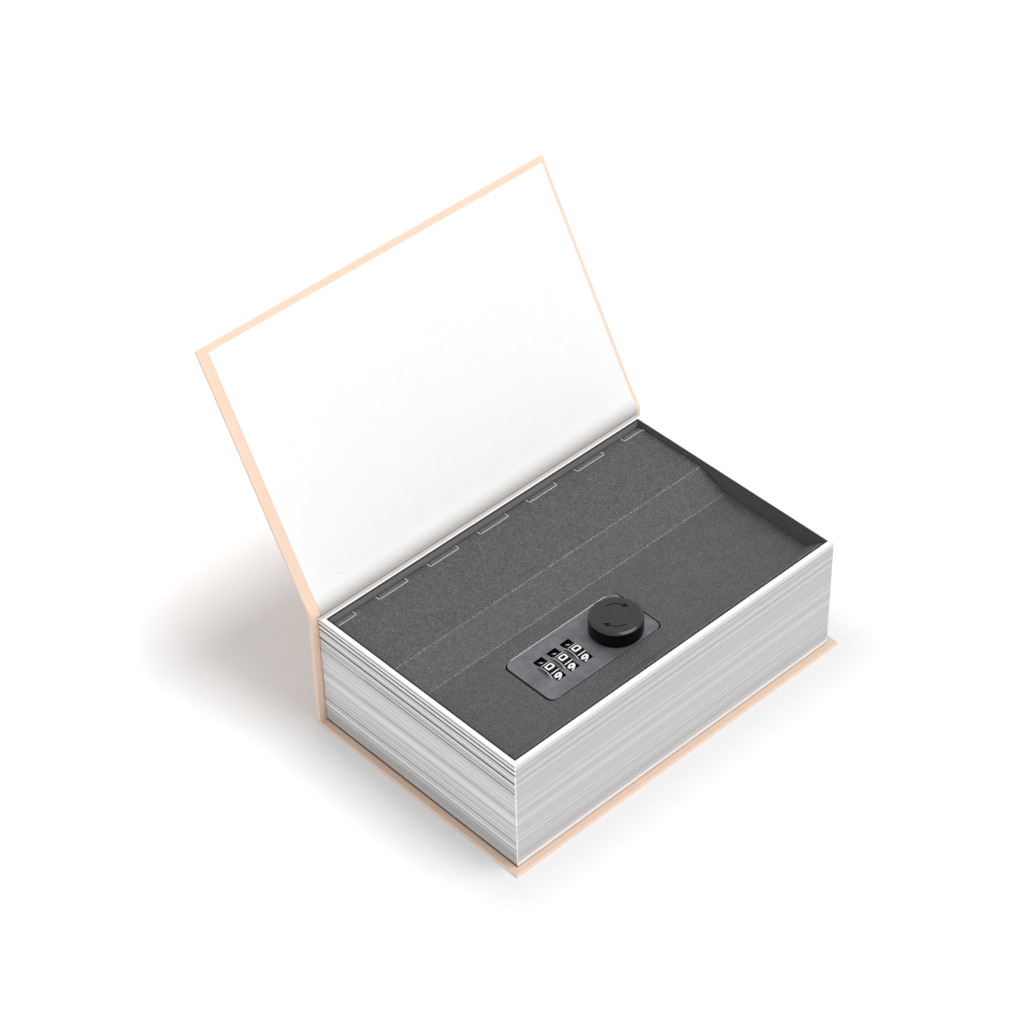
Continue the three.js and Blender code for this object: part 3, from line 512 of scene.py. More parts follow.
def pale_top(tree, colour):
    """The box's back wall, with painted light above the lid, standing for light from the cover's white
    endpaper.
    """
    return blend_colours(tree, spread(tree, place_parts(tree)["Z"], 51 * MM, 53 * MM), colour, grey(140))


def make_powder_coat(name, level, fleck, contrast, edge_level, dress=None):
    """Powder coat from grey levels: its ground, its flecks and its edges, worn pale and painted bright as
    highlights.
    """
    tree, shader, finish = new_material(name, Metallic=0.0, Specular_IOR_Level=0.35)
    sockets = {"Colour": grey(level), "Fleck": grey(fleck), "Speck Scale": 1500.0, "Contrast": contrast}
    coat = use_group(tree, POWDER_TEXTURE, sockets)
    colour = worn_edge(tree, 0.3 * MM, 0.6, coat["Colour"], grey(edge_level), 0.9)
    if dress:
        colour = dress(tree, colour)
    skin = bump(tree, coat["Height"], 0.12 * MM, 0.8)
    link(tree, shader, Base_Color=colour, Roughness=coat["Roughness"], Normal=skin)
    return finish


def make_metal(name, colour, shade, roughness, stretch, scale, metallic=1.0, edge=None):
    """Metal with a grain, stretched along one direction, and edges of a colour of their own if given."""
    tree, shader, finish = new_material(name, Metallic=metallic)
    sockets = {"Colour": colour, "Shade": shade, "Stretch": stretch, "Scale": scale}
    grain = use_group(tree, METAL_GRAIN, sockets)
    tone = worn_edge(tree, 0.25 * MM, 0.4, grain["Colour"], edge or colour, 0.9)
    rough = math_node(tree, "ADD", grain["Roughness"], roughness)
    link(tree, shader, Base_Color=tone, Roughness=rough, Normal=bump(tree, grain["Height"], 0.015 * MM, 0.5))
    return finish


def make_plastic(name, level, edge_level, roughness, texture_scale, depth, specular=0.5):
    """Plastic from grey levels of its ground and its edges, with a skin of a scale and a depth."""
    tree, shader, finish = new_material(name, Specular_IOR_Level=specular)
    skin = noise_at(tree, object_place(tree), texture_scale, 3.0, 0.6)
    tone = blend_colours(tree, spread(tree, skin, 0.35, 0.7), grey(level), grey(level + 6))
    colour = worn_edge(tree, 0.3 * MM, 0.4, tone, grey(edge_level), 0.5)
    rough = spread(tree, skin, 0.3, 0.7, roughness - 0.05, roughness + 0.07)
    link(tree, shader, Base_Color=colour, Roughness=rough, Normal=bump(tree, skin, depth, 0.6))
    return finish


def make_print(name, level):
    tree, shader, finish = new_material(name, Roughness=0.5)
    skin = noise_at(tree, object_place(tree), 2600.0, 3.0)
    tone = blend_colours(tree, spread(tree, skin, 0.4, 0.7), grey(level), grey(level - 14))
    link(tree, shader, Base_Color=tone, Normal=bump(tree, skin, 0.01 * MM, 0.4))
    return finish


COVER_PAPER = make_cover_paper()
ENDPAPER = make_endpaper()
GREYBOARD = make_greyboard()
PAGE_ENDS = make_page_edges("page_edges_ends", grey(248), grey(182), 1.0, 1.0, 0.0)
# A darker copy of the page paper on the fore-edge: painted shade.
PAGE_FORE_SHADED = make_page_edges("page_edges_fore_shaded", grey(206), grey(172), 0.5, 0.0, 0.9)
PAGE_RIM = make_rim_paper()
BOX_COAT = make_powder_coat("box_powder_coat", 92, 112, 0.6, 140)
# A dark copy of the box's coat on its rim: painted shade.
BOX_RIM_SHADE = make_powder_coat("box_rim_shade_coat", 34, 46, 0.6, 50)
# A copy of the box's coat with painted light on the back wall.
BOX_BACK_LIT = make_powder_coat("box_back_lit_coat", 92, 112, 0.6, 140, pale_top)
# The lid's edges are painted bright, as highlights.
LID_COAT = make_powder_coat("lid_powder_coat", 74, 116, 1.15, 205, thin_coat)
# A lighter copy of the lid's coat: painted highlight on the folds and the front lip.
LID_FOLD_HIGHLIGHT = make_powder_coat("lid_fold_highlight", 94, 160, 1.25, 205)
# A lighter copy of the lid's coat on its front rise: painted light.
LID_RISE_LIT = make_powder_coat("lid_front_rise_lit", 84, 128, 1.1, 205)
# The plate's edges are painted pale, as highlights.
LOCK_PLATE = make_metal(
    "lock_plate", srgb(122, 122, 127), srgb(86, 86, 91), 0.42, (0.8, 1, 1), 3000.0, 0.35, srgb(205, 205, 210)
)
# A bright copy of the plate's metal: painted highlight on the ribs.
PLATE_RIB_HIGHLIGHT = make_metal("plate_rib_highlight", grey(176), grey(130), 0.4, (1, 1, 1), 1400.0, 0.2, grey(190))
ZINC = make_metal("zinc_steel", srgb(196, 199, 204), srgb(160, 163, 170), 0.3, (0.12, 1, 1), 2600.0)
BRASS = make_metal("brass", srgb(214, 176, 96), srgb(186, 146, 72), 0.28, (1, 0.1, 0.1), 2200.0)
WHEEL_BLACK = make_plastic("wheel_black", 3, 10, 0.5, 2400.0, 0.006 * MM, specular=0.08)
KNOB_SIDE = make_plastic("knob_side_black", 4, 10, 0.35, 2600.0, 0.004 * MM, specular=0.12)
# Its edges are painted pale, as highlights.
KNOB_TOP = make_plastic("knob_top_satin", 24, 90, 0.34, 2600.0, 0.02 * MM)
KNOB_EDGE = make_plastic("knob_edge_polished", 20, 40, 0.22, 2600.0, 0.002 * MM, specular=0.55)
# A pale copy of the knob's plastic for the grooves' lips: painted highlight.
KNOB_LIP_HIGHLIGHT = make_plastic("knob_groove_lip_highlight", 104, 130, 0.4, 2600.0, 0.01 * MM)
HOUSING = make_plastic("housing_plastic", 26, 60, 0.5, 1800.0, 0.03 * MM)
DIGIT_PRINT = make_print("digit_print", 245)


# Mesh helpers

# Faces larger than this are shaded flat, in square metres
WIDE_FACE = 1000 * MM * MM


def new_object(name, data):
    made = bpy.data.objects.new(name, data)
    bpy.context.scene.collection.objects.link(made)
    return made


def verts_in(parts):
    return [part for part in parts if isinstance(part, bmesh.types.BMVert)]


def evaluated_shape(thing):
    """A bmesh of an object with its modifiers, or of its text."""
    bpy.context.view_layer.update()
    mesh = bpy.data.meshes.new_from_object(thing.evaluated_get(bpy.context.evaluated_depsgraph_get()))
    shape = bmesh.new()
    shape.from_mesh(mesh)
    bpy.data.meshes.remove(mesh)
    return shape


def make_piece(name, shape, finishes, body=None, replaced=(), angle=30):
    """An object from a bmesh, smooth but for many-sided or wide faces and edges sharper than the angle."""
    bmesh.ops.dissolve_degenerate(shape, dist=0.0005 * MM, edges=shape.edges)
    for face in shape.faces:
        face.smooth = len(face.verts) <= 8 and face.calc_area() < WIDE_FACE
    mesh = bpy.data.meshes.new(name)
    shape.to_mesh(mesh)
    shape.free()
    mesh.set_sharp_from_angle(angle=math.radians(angle))
    for finish in finishes if isinstance(finishes, (list, tuple)) else [finishes]:
        mesh.materials.append(finish)
    piece = new_object(name, mesh)
    evened = piece.modifiers.new("even_shading", "WEIGHTED_NORMAL")
    evened.keep_sharp = True
    evened.weight = 100
    if body:
        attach(piece, body)
    if replaced:
        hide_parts(*replaced)
    return piece


def edges_by_turn(shape, low, high, wanted=lambda edge: True):
    """Edges whose two faces turn by low to high degrees."""
    found = []
    for edge in shape.edges:
        if len(edge.link_faces) == 2 and wanted(edge):
            turn = math.degrees(edge.calc_face_angle(0))
            if low <= turn <= high:
                found.append(edge)
    return found


def round_edges(shape, edges, radius, segments=2):
    """Rounds edges and gives back the faces that this makes."""
    return bmesh.ops.bevel(
        shape,
        geom=edges,
        offset=radius,
        offset_type="OFFSET",
        segments=segments,
        profile=0.5,
        affect="EDGES",
        clamp_overlap=True,
        material=-1,
    )["faces"]


def cad_shape(node):
    """A CAD node's mesh with its loose triangles merged into whole faces."""
    shape = bmesh.new()
    shape.from_mesh(frame["nodes"][node].data)
    bmesh.ops.remove_doubles(shape, verts=shape.verts, dist=0.002 * MM)
    bmesh.ops.dissolve_limit(
        shape, angle_limit=math.radians(1), verts=shape.verts, edges=shape.edges
    )
    return shape


def body_with(node):
    return next(b for b, nodes in frame["record"]["behaviour"]["bodies"].items() if node in nodes)


def rounded_copy(node, finish, radius, low=40):
    """A CAD node again, with the edges that turn by more than low degrees rounded."""
    shape = cad_shape(node)
    round_edges(shape, edges_by_turn(shape, low, 180), radius)
    return make_piece(f"{node}_finished", shape, finish, body_with(node), [node], 35)


def curve_points(start, start_handle, end_handle, end, count):
    return [p.copy() for p in geometry.interpolate_bezier(start, start_handle, end_handle, end, count)]


def at(y, z):
    """A point on the book's middle plane, from millimetres."""
    return Vector((0, y, z)) * MM


def on_cover(along, height):
    """A point of the open front cover, along from its hinge line and height out from it."""
    return COVER_AXIS + COVER_RISE * along + COVER_OUTWARD * height


def ribbon_solid(pairs, x_range):
    """A sheet across X: a row of edges between its two faces, drawn out along X."""
    shape = bmesh.new()
    x0, x1 = x_range
    ends = [shape.verts.new((x0, point.y, point.z)) for point in pairs[0]]
    edge = shape.edges.new(ends)
    for pair in pairs[1:]:
        fresh = verts_in(bmesh.ops.extrude_edge_only(shape, edges=[edge])["geom"])
        edge = next(e for e in shape.edges if set(e.verts) == set(fresh))
        for old, point in zip(ends, pair):
            near = min(fresh, key=lambda v: (v.co - old.co).length)
            fresh.remove(near)
            near.co = (x0, point.y, point.z)
            ends[ends.index(old)] = near
    moved = verts_in(bmesh.ops.extrude_face_region(shape, geom=list(shape.faces))["geom"])
    bmesh.ops.translate(shape, verts=moved, vec=(x1 - x0, 0, 0))
    bmesh.ops.recalc_face_normals(shape, faces=shape.faces)
    return shape


# Book case

def joint_pairs(heights, starts_y, starts_z):
    """A paper's two faces through the joint, from the spine up to the cover."""
    straight_up = 2.6
    straight_on = 3.5 * MM
    sides = []
    for height, y, z in zip(heights, starts_y, starts_z):
        end = on_cover(JOINT_END, height)
        handle = end - COVER_RISE * straight_on
        sides.append(curve_points(at(y, z), at(y, z + straight_up), handle, end, JOINT_STEPS))
    return list(zip(*sides))


def is_outside_fold(edge):
    """Every edge but the inside corner between spine and back cover."""
    inside = Vector((SPINE_INNER_Y, TURN_IN_TOP_Z))
    return any((v.co.yz - inside).length > 0.1 * MM for v in edge.verts)


def add_covering_paper():
    """One printed sheet over both boards and the spine, turned in at its edges."""
    outer, inner = 1.0 * MM, -0.35 * MM
    pairs = [
        (Vector((0, FORE_EDGE_Y, 0)), Vector((0, FORE_EDGE_Y, TURN_IN_TOP_Z))),
        (Vector((0, SPINE_OUTER_Y, 0)), Vector((0, SPINE_INNER_Y, TURN_IN_TOP_Z))),
    ]
    pairs += joint_pairs((outer, inner), (58.0, 55.9), (55.2, 57.2))
    pairs.append((on_cover(COVER_DEPTH, outer), on_cover(COVER_DEPTH, inner)))
    shape = ribbon_solid(pairs, (-HALF_COVER, HALF_COVER))
    round_edges(shape, edges_by_turn(shape, 60, 100, is_outside_fold), 0.32 * MM, 3)
    piece = make_piece("covering_paper", shape, COVER_PAPER,
                       replaced=["back_cover_paper", "spine_paper", "front_cover_paper"])
    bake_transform(piece)


def add_front_endpaper():
    """The white sheet pasted to the cover's inner face and into the joint, with painted shade down in the
    joint.
    """
    outer, inner = -0.4 * MM, -0.6 * MM
    pairs = [(at(55.85, 56.0), at(55.6, 56.0))]
    pairs += joint_pairs((outer, inner), (55.85, 55.6), (57.15, 57.15))
    for along in (12 * MM, 16 * MM, COVER_DEPTH - 2.8 * MM):
        pairs.append((on_cover(along, outer), on_cover(along, inner)))
    shape = ribbon_solid(pairs, (-85.4 * MM, 88 * MM))
    # Painted shade: a value on each vertex, full at the joint and fading out along the cover.
    joint_shade = shape.verts.layers.float.new("joint_shade")
    joint_shade_length = 8 * MM
    for vert in shape.verts:
        along = (vert.co - COVER_AXIS).dot(COVER_RISE)
        vert[joint_shade] = min(1, max(0, 1 - along / joint_shade_length)) ** 2
    piece = make_piece("front_endpaper_sheet", shape, ENDPAPER, replaced=["front_endpaper"])
    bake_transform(piece)


# Page block

def page_levels(low, high, rng):
    """Heights and depths of the page bundles' steps, from the bottom up."""
    foot_depth = 0.35 * MM
    levels = [(low, foot_depth)]
    z = low + 0.3 * MM
    while z < high - 7 * MM:
        depth = rng.choice([0.0, 0.05, 0.1, 0.16, 0.22]) * MM
        levels.append((z, depth))
        z += rng.uniform(0.35, 1.0) * MM
        if rng.random() < 0.22:
            levels.append((z, rng.uniform(0.35, 0.6) * MM))
            z += rng.uniform(0.12, 0.22) * MM
    levels = [level for level in levels if level[0] < high - RIM_STEPS[0][0] * MM]
    return levels + [(high - start * MM, depth * MM) for start, depth in RIM_STEPS]


def add_page_block():
    """The block of page edges: a stepped outer face, a flat rim and smooth inner walls."""
    low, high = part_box("page_block")
    middle = (low + high) / 2
    half = (high - low) / 2
    shape = bmesh.new()
    around = ((-1, -1), (1, -1), (1, 1), (-1, 1))
    corners = [shape.verts.new((sx * half.x, sy * half.y, low.z)) for sx, sy in around]
    ring = [shape.edges.new((corners[i], corners[(i + 1) % 4])) for i in range(4)]
    bmesh.ops.subdivide_edges(shape, edges=ring, cuts=15)
    ring = list(shape.edges)
    inset = 0.0

    def step(edges, z, depth, before, flat=0.12):
        """Draws the outline up to a height and in to a depth, less deep on the fore-edge and the spine."""
        made = bmesh.ops.extrude_edge_only(shape, edges=edges)["geom"]
        verts = verts_in(made)
        scale = [
            (half[axis] - depth * share) / (half[axis] - before * share)
            for axis, share in ((0, 1), (1, flat))
        ]
        bmesh.ops.scale(shape, vec=(*scale, 1), verts=verts)
        for vert in verts:
            vert.co.z = z
        return [part for part in made if isinstance(part, bmesh.types.BMEdge)]

    levels = page_levels(low.z, high.z, random.Random(11))
    bottom_ring = ring
    for i, (z, depth) in enumerate(levels):
        ring = step(ring, z, depth, inset)
        inset = depth
        top = levels[i + 1][0] if i + 1 < len(levels) else high.z
        ring = step(ring, top, depth, inset)
    ring = step(ring, high.z, PAGE_WALL, inset, 1)
    opening = {vert for edge in ring for vert in edge.verts}
    ring = step(ring, low.z, PAGE_WALL, PAGE_WALL, 1)
    opening |= {vert for edge in ring for vert in edge.verts}
    for vert in opening:
        if vert.co.y > half.y - PAGE_WALL - 0.01 * MM:
            vert.co.y -= BINDING_WALL - PAGE_WALL
    bmesh.ops.bridge_loops(shape, edges=bottom_ring + ring)
    bmesh.ops.remove_doubles(shape, verts=shape.verts, dist=0.004 * MM)
    bmesh.ops.recalc_face_normals(shape, faces=shape.faces)
    waver_pages(shape, half, low.z, high.z)
    bmesh.ops.translate(shape, verts=shape.verts, vec=(middle.x, middle.y, 0))
    finishes = [PAGE_ENDS, PAGE_FORE_SHADED, PAGE_RIM]
    for face in shape.faces:
        normal = face.normal
        if normal.z > 0.9 and face.calc_center_median().z > high.z - 0.1 * MM:
            face.material_index = finishes.index(PAGE_RIM)
        elif abs(normal.y) > abs(normal.x):
            face.material_index = finishes.index(PAGE_FORE_SHADED)
    make_piece("page_block_edges", shape, finishes, "book", ["page_block"])


def waver_pages(shape, half, low, high):
    """Pushes the outer faces in a little here and there, as pages that aren't quite flush."""
    for vert in shape.verts:
        share = (high - vert.co.z) / (high - low)
        if not 0.04 < share < 0.995:
            continue
        for axis in (0, 1):
            limit = half[axis] - 1.2 * MM
            if abs(vert.co[axis]) > limit:
                place = Vector((vert.co.x * 25, vert.co.y * 25, vert.co.z * 500))
                push = (0.5 + noise.noise(place)) * (0.03 + 0.12 * share) * MM
                vert.co[axis] -= math.copysign(push, vert.co[axis])


# Steel box and lid

def add_lid():
    """The lid, with painted highlights along its folds and its front lip, and painted light on its front
    rise.
    """
    shape = cad_shape("lid_panel")
    folds = edges_by_turn(shape, 17, 60, lambda e: abs(e.verts[0].co.x - e.verts[1].co.x) > 100 * MM)
    finishes = [LID_COAT, LID_FOLD_HIGHLIGHT, LID_RISE_LIT]
    # Painted highlight on the rounded folds.
    for face in round_edges(shape, folds, 0.9 * MM, 5):
        face.material_index = finishes.index(LID_FOLD_HIGHLIGHT)
    for face in shape.faces:
        middle_y = face.calc_center_median().y
        on_top = face.normal.z > 0.5
        # Painted light on the front rise's top faces.
        if LID_RISE_Y[0] < middle_y < LID_RISE_Y[1] and abs(face.normal.x) < 0.5:
            face.material_index = finishes.index(LID_RISE_LIT if on_top else LID_COAT)
        # Painted highlight on the front lip's top.
        elif on_top and middle_y < LID_LIP_Y:
            face.material_index = finishes.index(LID_FOLD_HIGHLIGHT)
    round_edges(shape, edges_by_turn(shape, 62, 120), 0.14 * MM)
    make_piece("lid_panel_finished", shape, finishes, "lid", ["lid_panel"], 35)


def add_box_pieces():
    """The steel box, with painted shade along its rim and painted light on its back wall, and what is fixed
    to it.
    """
    box = cad_shape("steel_box")
    round_edges(box, edges_by_turn(box, 40, 180), 0.15 * MM)
    finishes = [BOX_COAT, BOX_RIM_SHADE, BOX_BACK_LIT]
    for face in box.faces:
        middle = face.calc_center_median()
        # Painted shade on the rim's top faces.
        if face.normal.z > 0.3 and middle.z > RIM_TOP_Z - 0.3 * MM:
            face.material_index = finishes.index(BOX_RIM_SHADE)
        # Painted light on the back wall's inner face.
        elif face.normal.y < -0.5 and middle.y > BACK_WALL_Y:
            face.material_index = finishes.index(BOX_BACK_LIT)
    make_piece("steel_box_finished", box, finishes, "book", ["steel_box"], 35)
    rounded_copy("hinge_leaf", BOX_COAT, 0.1 * MM, 62)
    for end in ("head", "tail"):
        rounded_copy(f"lid_rest_{end}", BOX_COAT, 0.15 * MM)
    rounded_copy("hinge_pin", ZINC, 0.12 * MM, 62)
    rounded_copy("strike_bracket", ZINC, 0.15 * MM)


# Lock

def is_plate_rim_or_rib(edge):
    """The plate's outer edge or a rib's back, but not the windows' edges."""
    low = min(v.co.z for v in edge.verts)
    middle = (edge.verts[0].co + edge.verts[1].co) / 2 - LOCK
    at_rim = abs(middle.x) > 23 * MM or abs(middle.y) > 12.4 * MM
    return edge.is_convex and (low > LOCK.z + 0.1 * MM or (at_rim and low > LOCK.z - 0.1 * MM))


def add_faceplate():
    """The lock's plate, with painted highlights along the ribs' backs and painted shade, black, inside the
    windows.
    """
    shape = cad_shape("lock_faceplate")
    round_edges(shape, edges_by_turn(shape, 40, 120, is_plate_rim_or_rib), 0.15 * MM)
    finishes = [LOCK_PLATE, PLATE_RIB_HIGHLIGHT, WHEEL_BLACK]
    for face in shape.faces:
        middle = face.calc_center_median() - LOCK
        near_windows = -21 * MM < middle.x < 0 and abs(middle.y) < 7.1 * MM
        # Painted highlight on the ribs' tops.
        if near_windows and middle.z > 0.05 * MM and face.normal.z > 0.3:
            face.material_index = finishes.index(PLATE_RIB_HIGHLIGHT)
        # Painted shade: the windows' walls take the wheels' black.
        elif near_windows and abs(face.normal.z) < 0.1 and (middle.z < 0 or face.normal.x > 0.9):
            face.material_index = finishes.index(WHEEL_BLACK)
    make_piece("lock_faceplate_finished", shape, finishes, "lid", ["lock_faceplate"], 35)


def flat_text(text, width, height):
    """A character as a flat mesh, its middle at the origin, stretched to a size."""
    curve = bpy.data.curves.new(f"digit_{text}", "FONT")
    curve.body = text
    curve.size = 1
    curve.offset = 0.032
    curve.resolution_u = 6
    letter = new_object(f"digit_{text}", curve)
    shape = evaluated_shape(letter)
    bpy.data.objects.remove(letter)
    low = Vector((min(v.co.x for v in shape.verts), min(v.co.y for v in shape.verts), 0))
    high = Vector((max(v.co.x for v in shape.verts), max(v.co.y for v in shape.verts), 0))
    bmesh.ops.translate(shape, verts=shape.verts, vec=-(low + high) / 2)
    tall = height / (high.y - low.y)
    # The 1 keeps its own narrow shape
    wide = tall if text == "1" else width / (high.x - low.x)
    bmesh.ops.scale(shape, vec=(wide, tall, 1), verts=shape.verts)
    for vert in shape.verts:
        vert.co.z = 0
    return shape


def flat_strip(width, height):
    strip = bmesh.new()
    bmesh.ops.create_grid(strip, x_segments=1, y_segments=1, size=0.5)
    bmesh.ops.scale(strip, vec=(width, height, 1), verts=strip.verts)
    return strip


def squarish_zero(width, height):
    """A nought like a frame with blunt corners."""
    shape = flat_strip(width, height)
    bmesh.ops.bevel(shape, geom=list(shape.verts), offset=0.5 * MM, offset_type="OFFSET", segments=3,
                    profile=0.5, affect="VERTICES", material=-1)
    bmesh.ops.inset_region(shape, faces=list(shape.faces), use_boundary=True, use_even_offset=True,
                           thickness=0.72 * MM)
    middle = min(shape.faces, key=lambda face: face.calc_center_median().length)
    bmesh.ops.delete(shape, geom=[middle], context="FACES")
    return shape


def wrap_on_wheel(shape, x, angle):
    """Bends a flat shape round a wheel: its Y becomes the way round, its middle at the angle."""
    radius = WHEEL_RADIUS + 0.02 * MM
    for cut in range(-4, 5):
        parts = shape.verts[:] + shape.edges[:] + shape.faces[:]
        bmesh.ops.bisect_plane(shape, geom=parts, plane_co=(0, cut * 0.35 * MM, 0), plane_no=(0, 1, 0))
    for vert in shape.verts:
        turn = angle + vert.co.y / radius
        vert.co = (x + vert.co.x, LOCK.y + radius * math.sin(turn), WHEEL_AXIS_Z + radius * math.cos(turn))


def merge_into(whole, part):
    mesh = bpy.data.meshes.new("part")
    part.to_mesh(mesh)
    part.free()
    whole.from_mesh(mesh)
    bpy.data.meshes.remove(mesh)


def digit_ring(x):
    """The ten digits and the thin lines between them, as print on one wheel."""
    ring = bmesh.new()
    for digit in range(10):
        shape = flat_text(str(digit), *DIGIT_SIZE) if digit else squarish_zero(*DIGIT_SIZE)
        wrap_on_wheel(shape, x, math.radians(DIGIT_STEP * digit))
        merge_into(ring, shape)
        line = flat_strip(*DIGIT_LINE_SIZE)
        wrap_on_wheel(line, x, math.radians(DIGIT_STEP * digit + DIGIT_LINE_TURN))
        merge_into(ring, line)
    bmesh.ops.recalc_face_normals(ring, faces=ring.faces)
    axis = Vector((x, LOCK.y, WHEEL_AXIS_Z))
    turned = [f for f in ring.faces if (f.calc_center_median() - axis).dot(f.normal) < 0]
    bmesh.ops.reverse_faces(ring, faces=turned)
    return ring


def add_wheels():
    for i in range(3):
        x = FIRST_WHEEL_X + i * WHEEL_PITCH
        rounded_copy(f"dial_wheel_{i + 1}", WHEEL_BLACK, 0.2 * MM, 40)
        make_piece(f"dial_digits_{i + 1}", digit_ring(x), DIGIT_PRINT, f"dial_{i + 1}")
        rounded_copy(f"code_sleeve_{i + 1}", BRASS, 0.08 * MM, 50)


def turn_about_z(shape, angle):
    turned = Matrix.Rotation(angle, 3, "Z")
    bmesh.ops.rotate(shape, verts=shape.verts, cent=(0, 0, 0), matrix=turned)


def arrow_cutters(turn):
    """The bow and the head of a curved arrow as solids, to be sunk into the knob's top."""
    radius, wide, deep = 6.3 * MM, 0.55 * MM, 0.3 * MM
    sweep = math.radians(64)
    head_radius = 1.75 * MM
    floor = LOCK.z + KNOB_RISE - deep
    bow = bmesh.new()
    ends = [bow.verts.new((radius + side * wide / 2, 0, floor)) for side in (-1, 1)]
    start = bow.edges.new(ends)
    bmesh.ops.spin(bow, geom=[start], cent=(0, 0, 0), axis=(0, 0, 1), angle=sweep, steps=16)
    raised = verts_in(bmesh.ops.extrude_face_region(bow, geom=list(bow.faces))["geom"])
    bmesh.ops.translate(bow, verts=raised, vec=(0, 0, MM))
    head = bmesh.new()
    bmesh.ops.create_cone(head, cap_ends=True, segments=3, radius1=head_radius, radius2=head_radius, depth=MM)
    turn_about_z(head, math.radians(180))
    bmesh.ops.scale(head, vec=(0.85, 1.1, 1), verts=head.verts)
    bmesh.ops.translate(head, verts=head.verts, vec=(radius, -0.9 * MM, floor + MM / 2))
    for shape in (bow, head):
        turn_about_z(shape, turn)
        bmesh.ops.translate(shape, verts=shape.verts, vec=(KNOB.x, KNOB.y, 0))
        bmesh.ops.recalc_face_normals(shape, faces=shape.faces)
    return [bow, head]


def carve(shape, cutters):
    """Takes solid cutters out of a solid shape."""
    objects = []
    for part in [shape] + cutters:
        mesh = bpy.data.meshes.new("carving")
        part.to_mesh(mesh)
        part.free()
        objects.append(new_object("carving", mesh))
    body = objects[0]
    for cutter in objects[1:]:
        sunk = body.modifiers.new("sunk", "BOOLEAN")
        sunk.operation = "DIFFERENCE"
        sunk.solver = "MANIFOLD"
        sunk.object = cutter
    result = evaluated_shape(body)
    for piece in objects:
        bpy.data.objects.remove(piece)
    return result


def spun(profile, centre, steps):
    """A round solid from radii and heights, turned about Z."""
    shape = bmesh.new()
    verts = [shape.verts.new((radius, 0, z)) for radius, z in profile]
    edges = [shape.edges.new(pair) for pair in zip(verts, verts[1:])]
    bmesh.ops.spin(
        shape,
        geom=verts + edges,
        cent=(0, 0, 0),
        axis=(0, 0, 1),
        angle=math.tau,
        steps=steps,
        use_merge=True,
        use_duplicate=False,
    )
    bmesh.ops.remove_doubles(shape, verts=shape.verts, dist=0.001 * MM)
    bmesh.ops.recalc_face_normals(shape, faces=shape.faces)
    bmesh.ops.translate(shape, verts=shape.verts, vec=centre)
    return shape


def add_knob():
    """The turned knob, two arrows cut in its top, with finishes for its side, top, grooves' lips and rim; the
    lips carry a painted highlight.
    """
    low, high = 0.2, KNOB_RISE / MM
    profile = [
        (0, 5.4), (2.95, 5.4), (2.95, low), (10.55, low), (10.8, low + 0.1), (10.9, low + 0.35),
        (10.9, high - 1.0), (10.84, high - 0.78), (10.6, high - 0.52), (9.95, high - 0.12),
        (9.6, high - 0.02), (9.3, high), (0, high),
    ]
    shape = spun([(r * MM, LOCK.z + z * MM) for r, z in profile], (KNOB.x, KNOB.y, 0), 96)
    shape = carve(shape, arrow_cutters(math.radians(200)) + arrow_cutters(math.radians(20)))
    top = LOCK.z + KNOB_RISE
    groove = edges_by_turn(shape, 60, 120, lambda e: min(v.co.z for v in e.verts) > top - 0.01 * MM)
    lips = set(round_edges(shape, groove, 0.1 * MM))
    finishes = [KNOB_SIDE, KNOB_TOP, KNOB_LIP_HIGHLIGHT, KNOB_EDGE]
    for face in shape.faces:
        middle = face.calc_center_median()
        from_axis = math.hypot(middle.x - KNOB.x, middle.y - KNOB.y)
        sunk = middle.z < top - 0.12 * MM and from_axis < 8.5 * MM
        # Painted highlight on the grooves' lips.
        if face in lips:
            face.material_index = finishes.index(KNOB_LIP_HIGHLIGHT)
        elif 0.25 < face.normal.z < 0.97 and not sunk:
            face.material_index = finishes.index(KNOB_EDGE)
        elif face.normal.z > 0.25 and not (sunk and middle.z > top - MM):
            face.material_index = finishes.index(KNOB_TOP)
    make_piece("knob_finished", shape, finishes, "knob", ["knob"], 35)


def add_lock_pieces():
    rounded_copy("lock_housing", HOUSING, 0.25 * MM, 50)
    rounded_copy("lock_back_cover", ZINC, 0.15 * MM, 50)
    for i in range(4):
        rounded_copy(f"lock_cover_screw_{i + 1}", ZINC, 0.2 * MM, 50)
    for end in ("head", "tail"):
        rounded_copy(f"lid_stud_{end}", ZINC, 0.25 * MM, 50)
        rounded_copy(f"lock_nut_{end}", ZINC, 0.25 * MM, 50)
    small = ("wheel_axle", "wheel_click_spring", "code_change_slide", "latch_cam", "cam_washer", "cam_nut")
    for node in small:
        rounded_copy(node, ZINC, 0.1 * MM, 50)
    spindle = cad_shape("knob_spindle")
    make_piece("knob_spindle_finished", spindle, ZINC, "knob", ["knob_spindle"], 35)
    rounded_copy("fence_bar", BRASS, 0.1 * MM, 50)


def finish_boards():
    for node in ("back_cover_board", "spine_board", "front_cover_board"):
        show_cad_node(node, GREYBOARD)
    show_cad_node("back_endpaper", ENDPAPER)


def show_cad_node(node, finish):
    mesh = frame["nodes"][node].data
    mesh.materials.clear()
    mesh.materials.append(finish)


# Stage

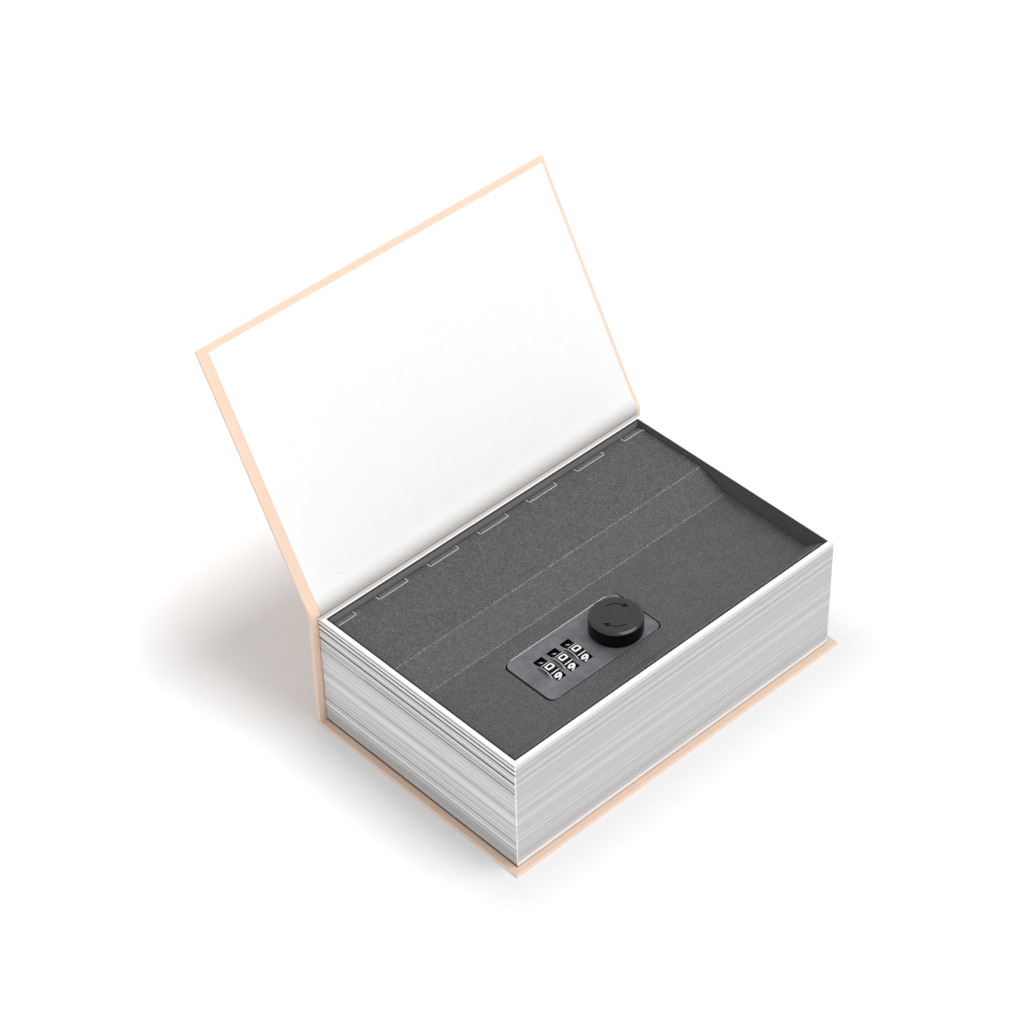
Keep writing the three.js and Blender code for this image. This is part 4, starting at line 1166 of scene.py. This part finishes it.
def add_floor():
    """A pale floor with painted light for the camera, growing away from the book, which leaves a painted soft
    shadow round it.
    """
    shape = bmesh.new()
    bmesh.ops.create_grid(shape, x_segments=1, y_segments=1, size=4)
    tree, shader, finish = new_material("floor", Roughness=1.0, Specular_IOR_Level=0.0)
    shader.inputs["Base Color"].default_value = srgb(236, 237, 238)
    shader.inputs["Emission Color"].default_value = (1, 1, 1, 1)
    half_depth = (OPEN_DEPTH_Y - FORE_EDGE_Y) / 2
    middle = (0, FORE_EDGE_Y + half_depth, 0)
    corner = (HALF_COVER, half_depth, 0)

    def vector_node(operation, output, *vectors):
        sockets = dict(enumerate(vectors))
        return add(tree, "ShaderNodeVectorMath", sockets, operation=operation).outputs[output]

    place = add(tree, "ShaderNodeTexCoord").outputs["Object"]
    across = vector_node("ABSOLUTE", "Vector", vector_node("SUBTRACT", "Vector", place, middle))
    beyond = vector_node("MAXIMUM", "Vector", vector_node("SUBTRACT", "Vector", across, corner), (0, 0, 0))
    # Painted light: none near the book and the open cover, more further out.
    painted_floor_light = spread(tree, vector_node("LENGTH", "Value", beyond), 4 * MM, 80 * MM, 0.0, 0.55)
    camera_ray = add(tree, "ShaderNodeLightPath").outputs["Is Camera Ray"]
    tree.links.new(times(tree, camera_ray, painted_floor_light), shader.inputs["Emission Strength"])
    make_piece("floor", shape, finish)


def add_world():
    """White behind the book and in its reflections, and a softer white as light."""
    world = bpy.data.worlds.new("studio")
    world.use_nodes = True
    tree = world.node_tree
    tree.nodes.clear()
    path = add(tree, "ShaderNodeLightPath").outputs
    shown = math_node(tree, "MAXIMUM", path["Is Camera Ray"], path["Is Glossy Ray"])
    shown = math_node(tree, "MAXIMUM", shown, path["Is Transmission Ray"])
    strength = spread(tree, shown, 0.0, 1.0, 0.69, 1.0)
    background = add(tree, "ShaderNodeBackground", {"Color": (1, 1, 1, 1), "Strength": strength})
    add(tree, "ShaderNodeOutputWorld", {"Surface": background.outputs["Background"]})
    bpy.context.scene.world = world


def add_lamp():
    """A wide soft light from the fore-edge side, a little to the right."""
    shines_towards = Vector((-0.25, 0.38, -0.9))
    lamp = bpy.data.lights.new("soft_light", "SUN")
    lamp.energy = 1.4
    lamp.angle = math.radians(40)
    new_object("soft_light", lamp).rotation_euler = shines_towards.to_track_quat("-Z", "Y").to_euler()


def add_camera():
    """The photo's camera, from a fit to the corners of the book."""
    place = Vector((-0.609709, -0.627720, 0.872487))
    forward = Vector((0.50430377, 0.54987485, -0.66581931))
    roll = math.radians(-1.464)
    right = forward.cross(Vector((0, 0, 1))).normalized()
    up = right.cross(forward)
    turned_right = right * math.cos(roll) + up * math.sin(roll)
    turned_up = up * math.cos(roll) - right * math.sin(roll)
    lens = bpy.data.cameras.new("camera")
    lens.sensor_width = 36
    lens.lens = 107.37
    camera = new_object("camera", lens)
    turned = Matrix((turned_right, turned_up, -forward)).transposed().to_4x4()
    camera.matrix_world = Matrix.Translation(place) @ turned
    bpy.context.scene.camera = camera


add_covering_paper()
add_front_endpaper()
add_page_block()
finish_boards()
add_box_pieces()
add_lid()
add_faceplate()
add_wheels()
add_knob()
add_lock_pieces()
add_floor()
add_world()
add_lamp()
add_camera()
bpy.context.scene.view_settings.view_transform = "Standard"
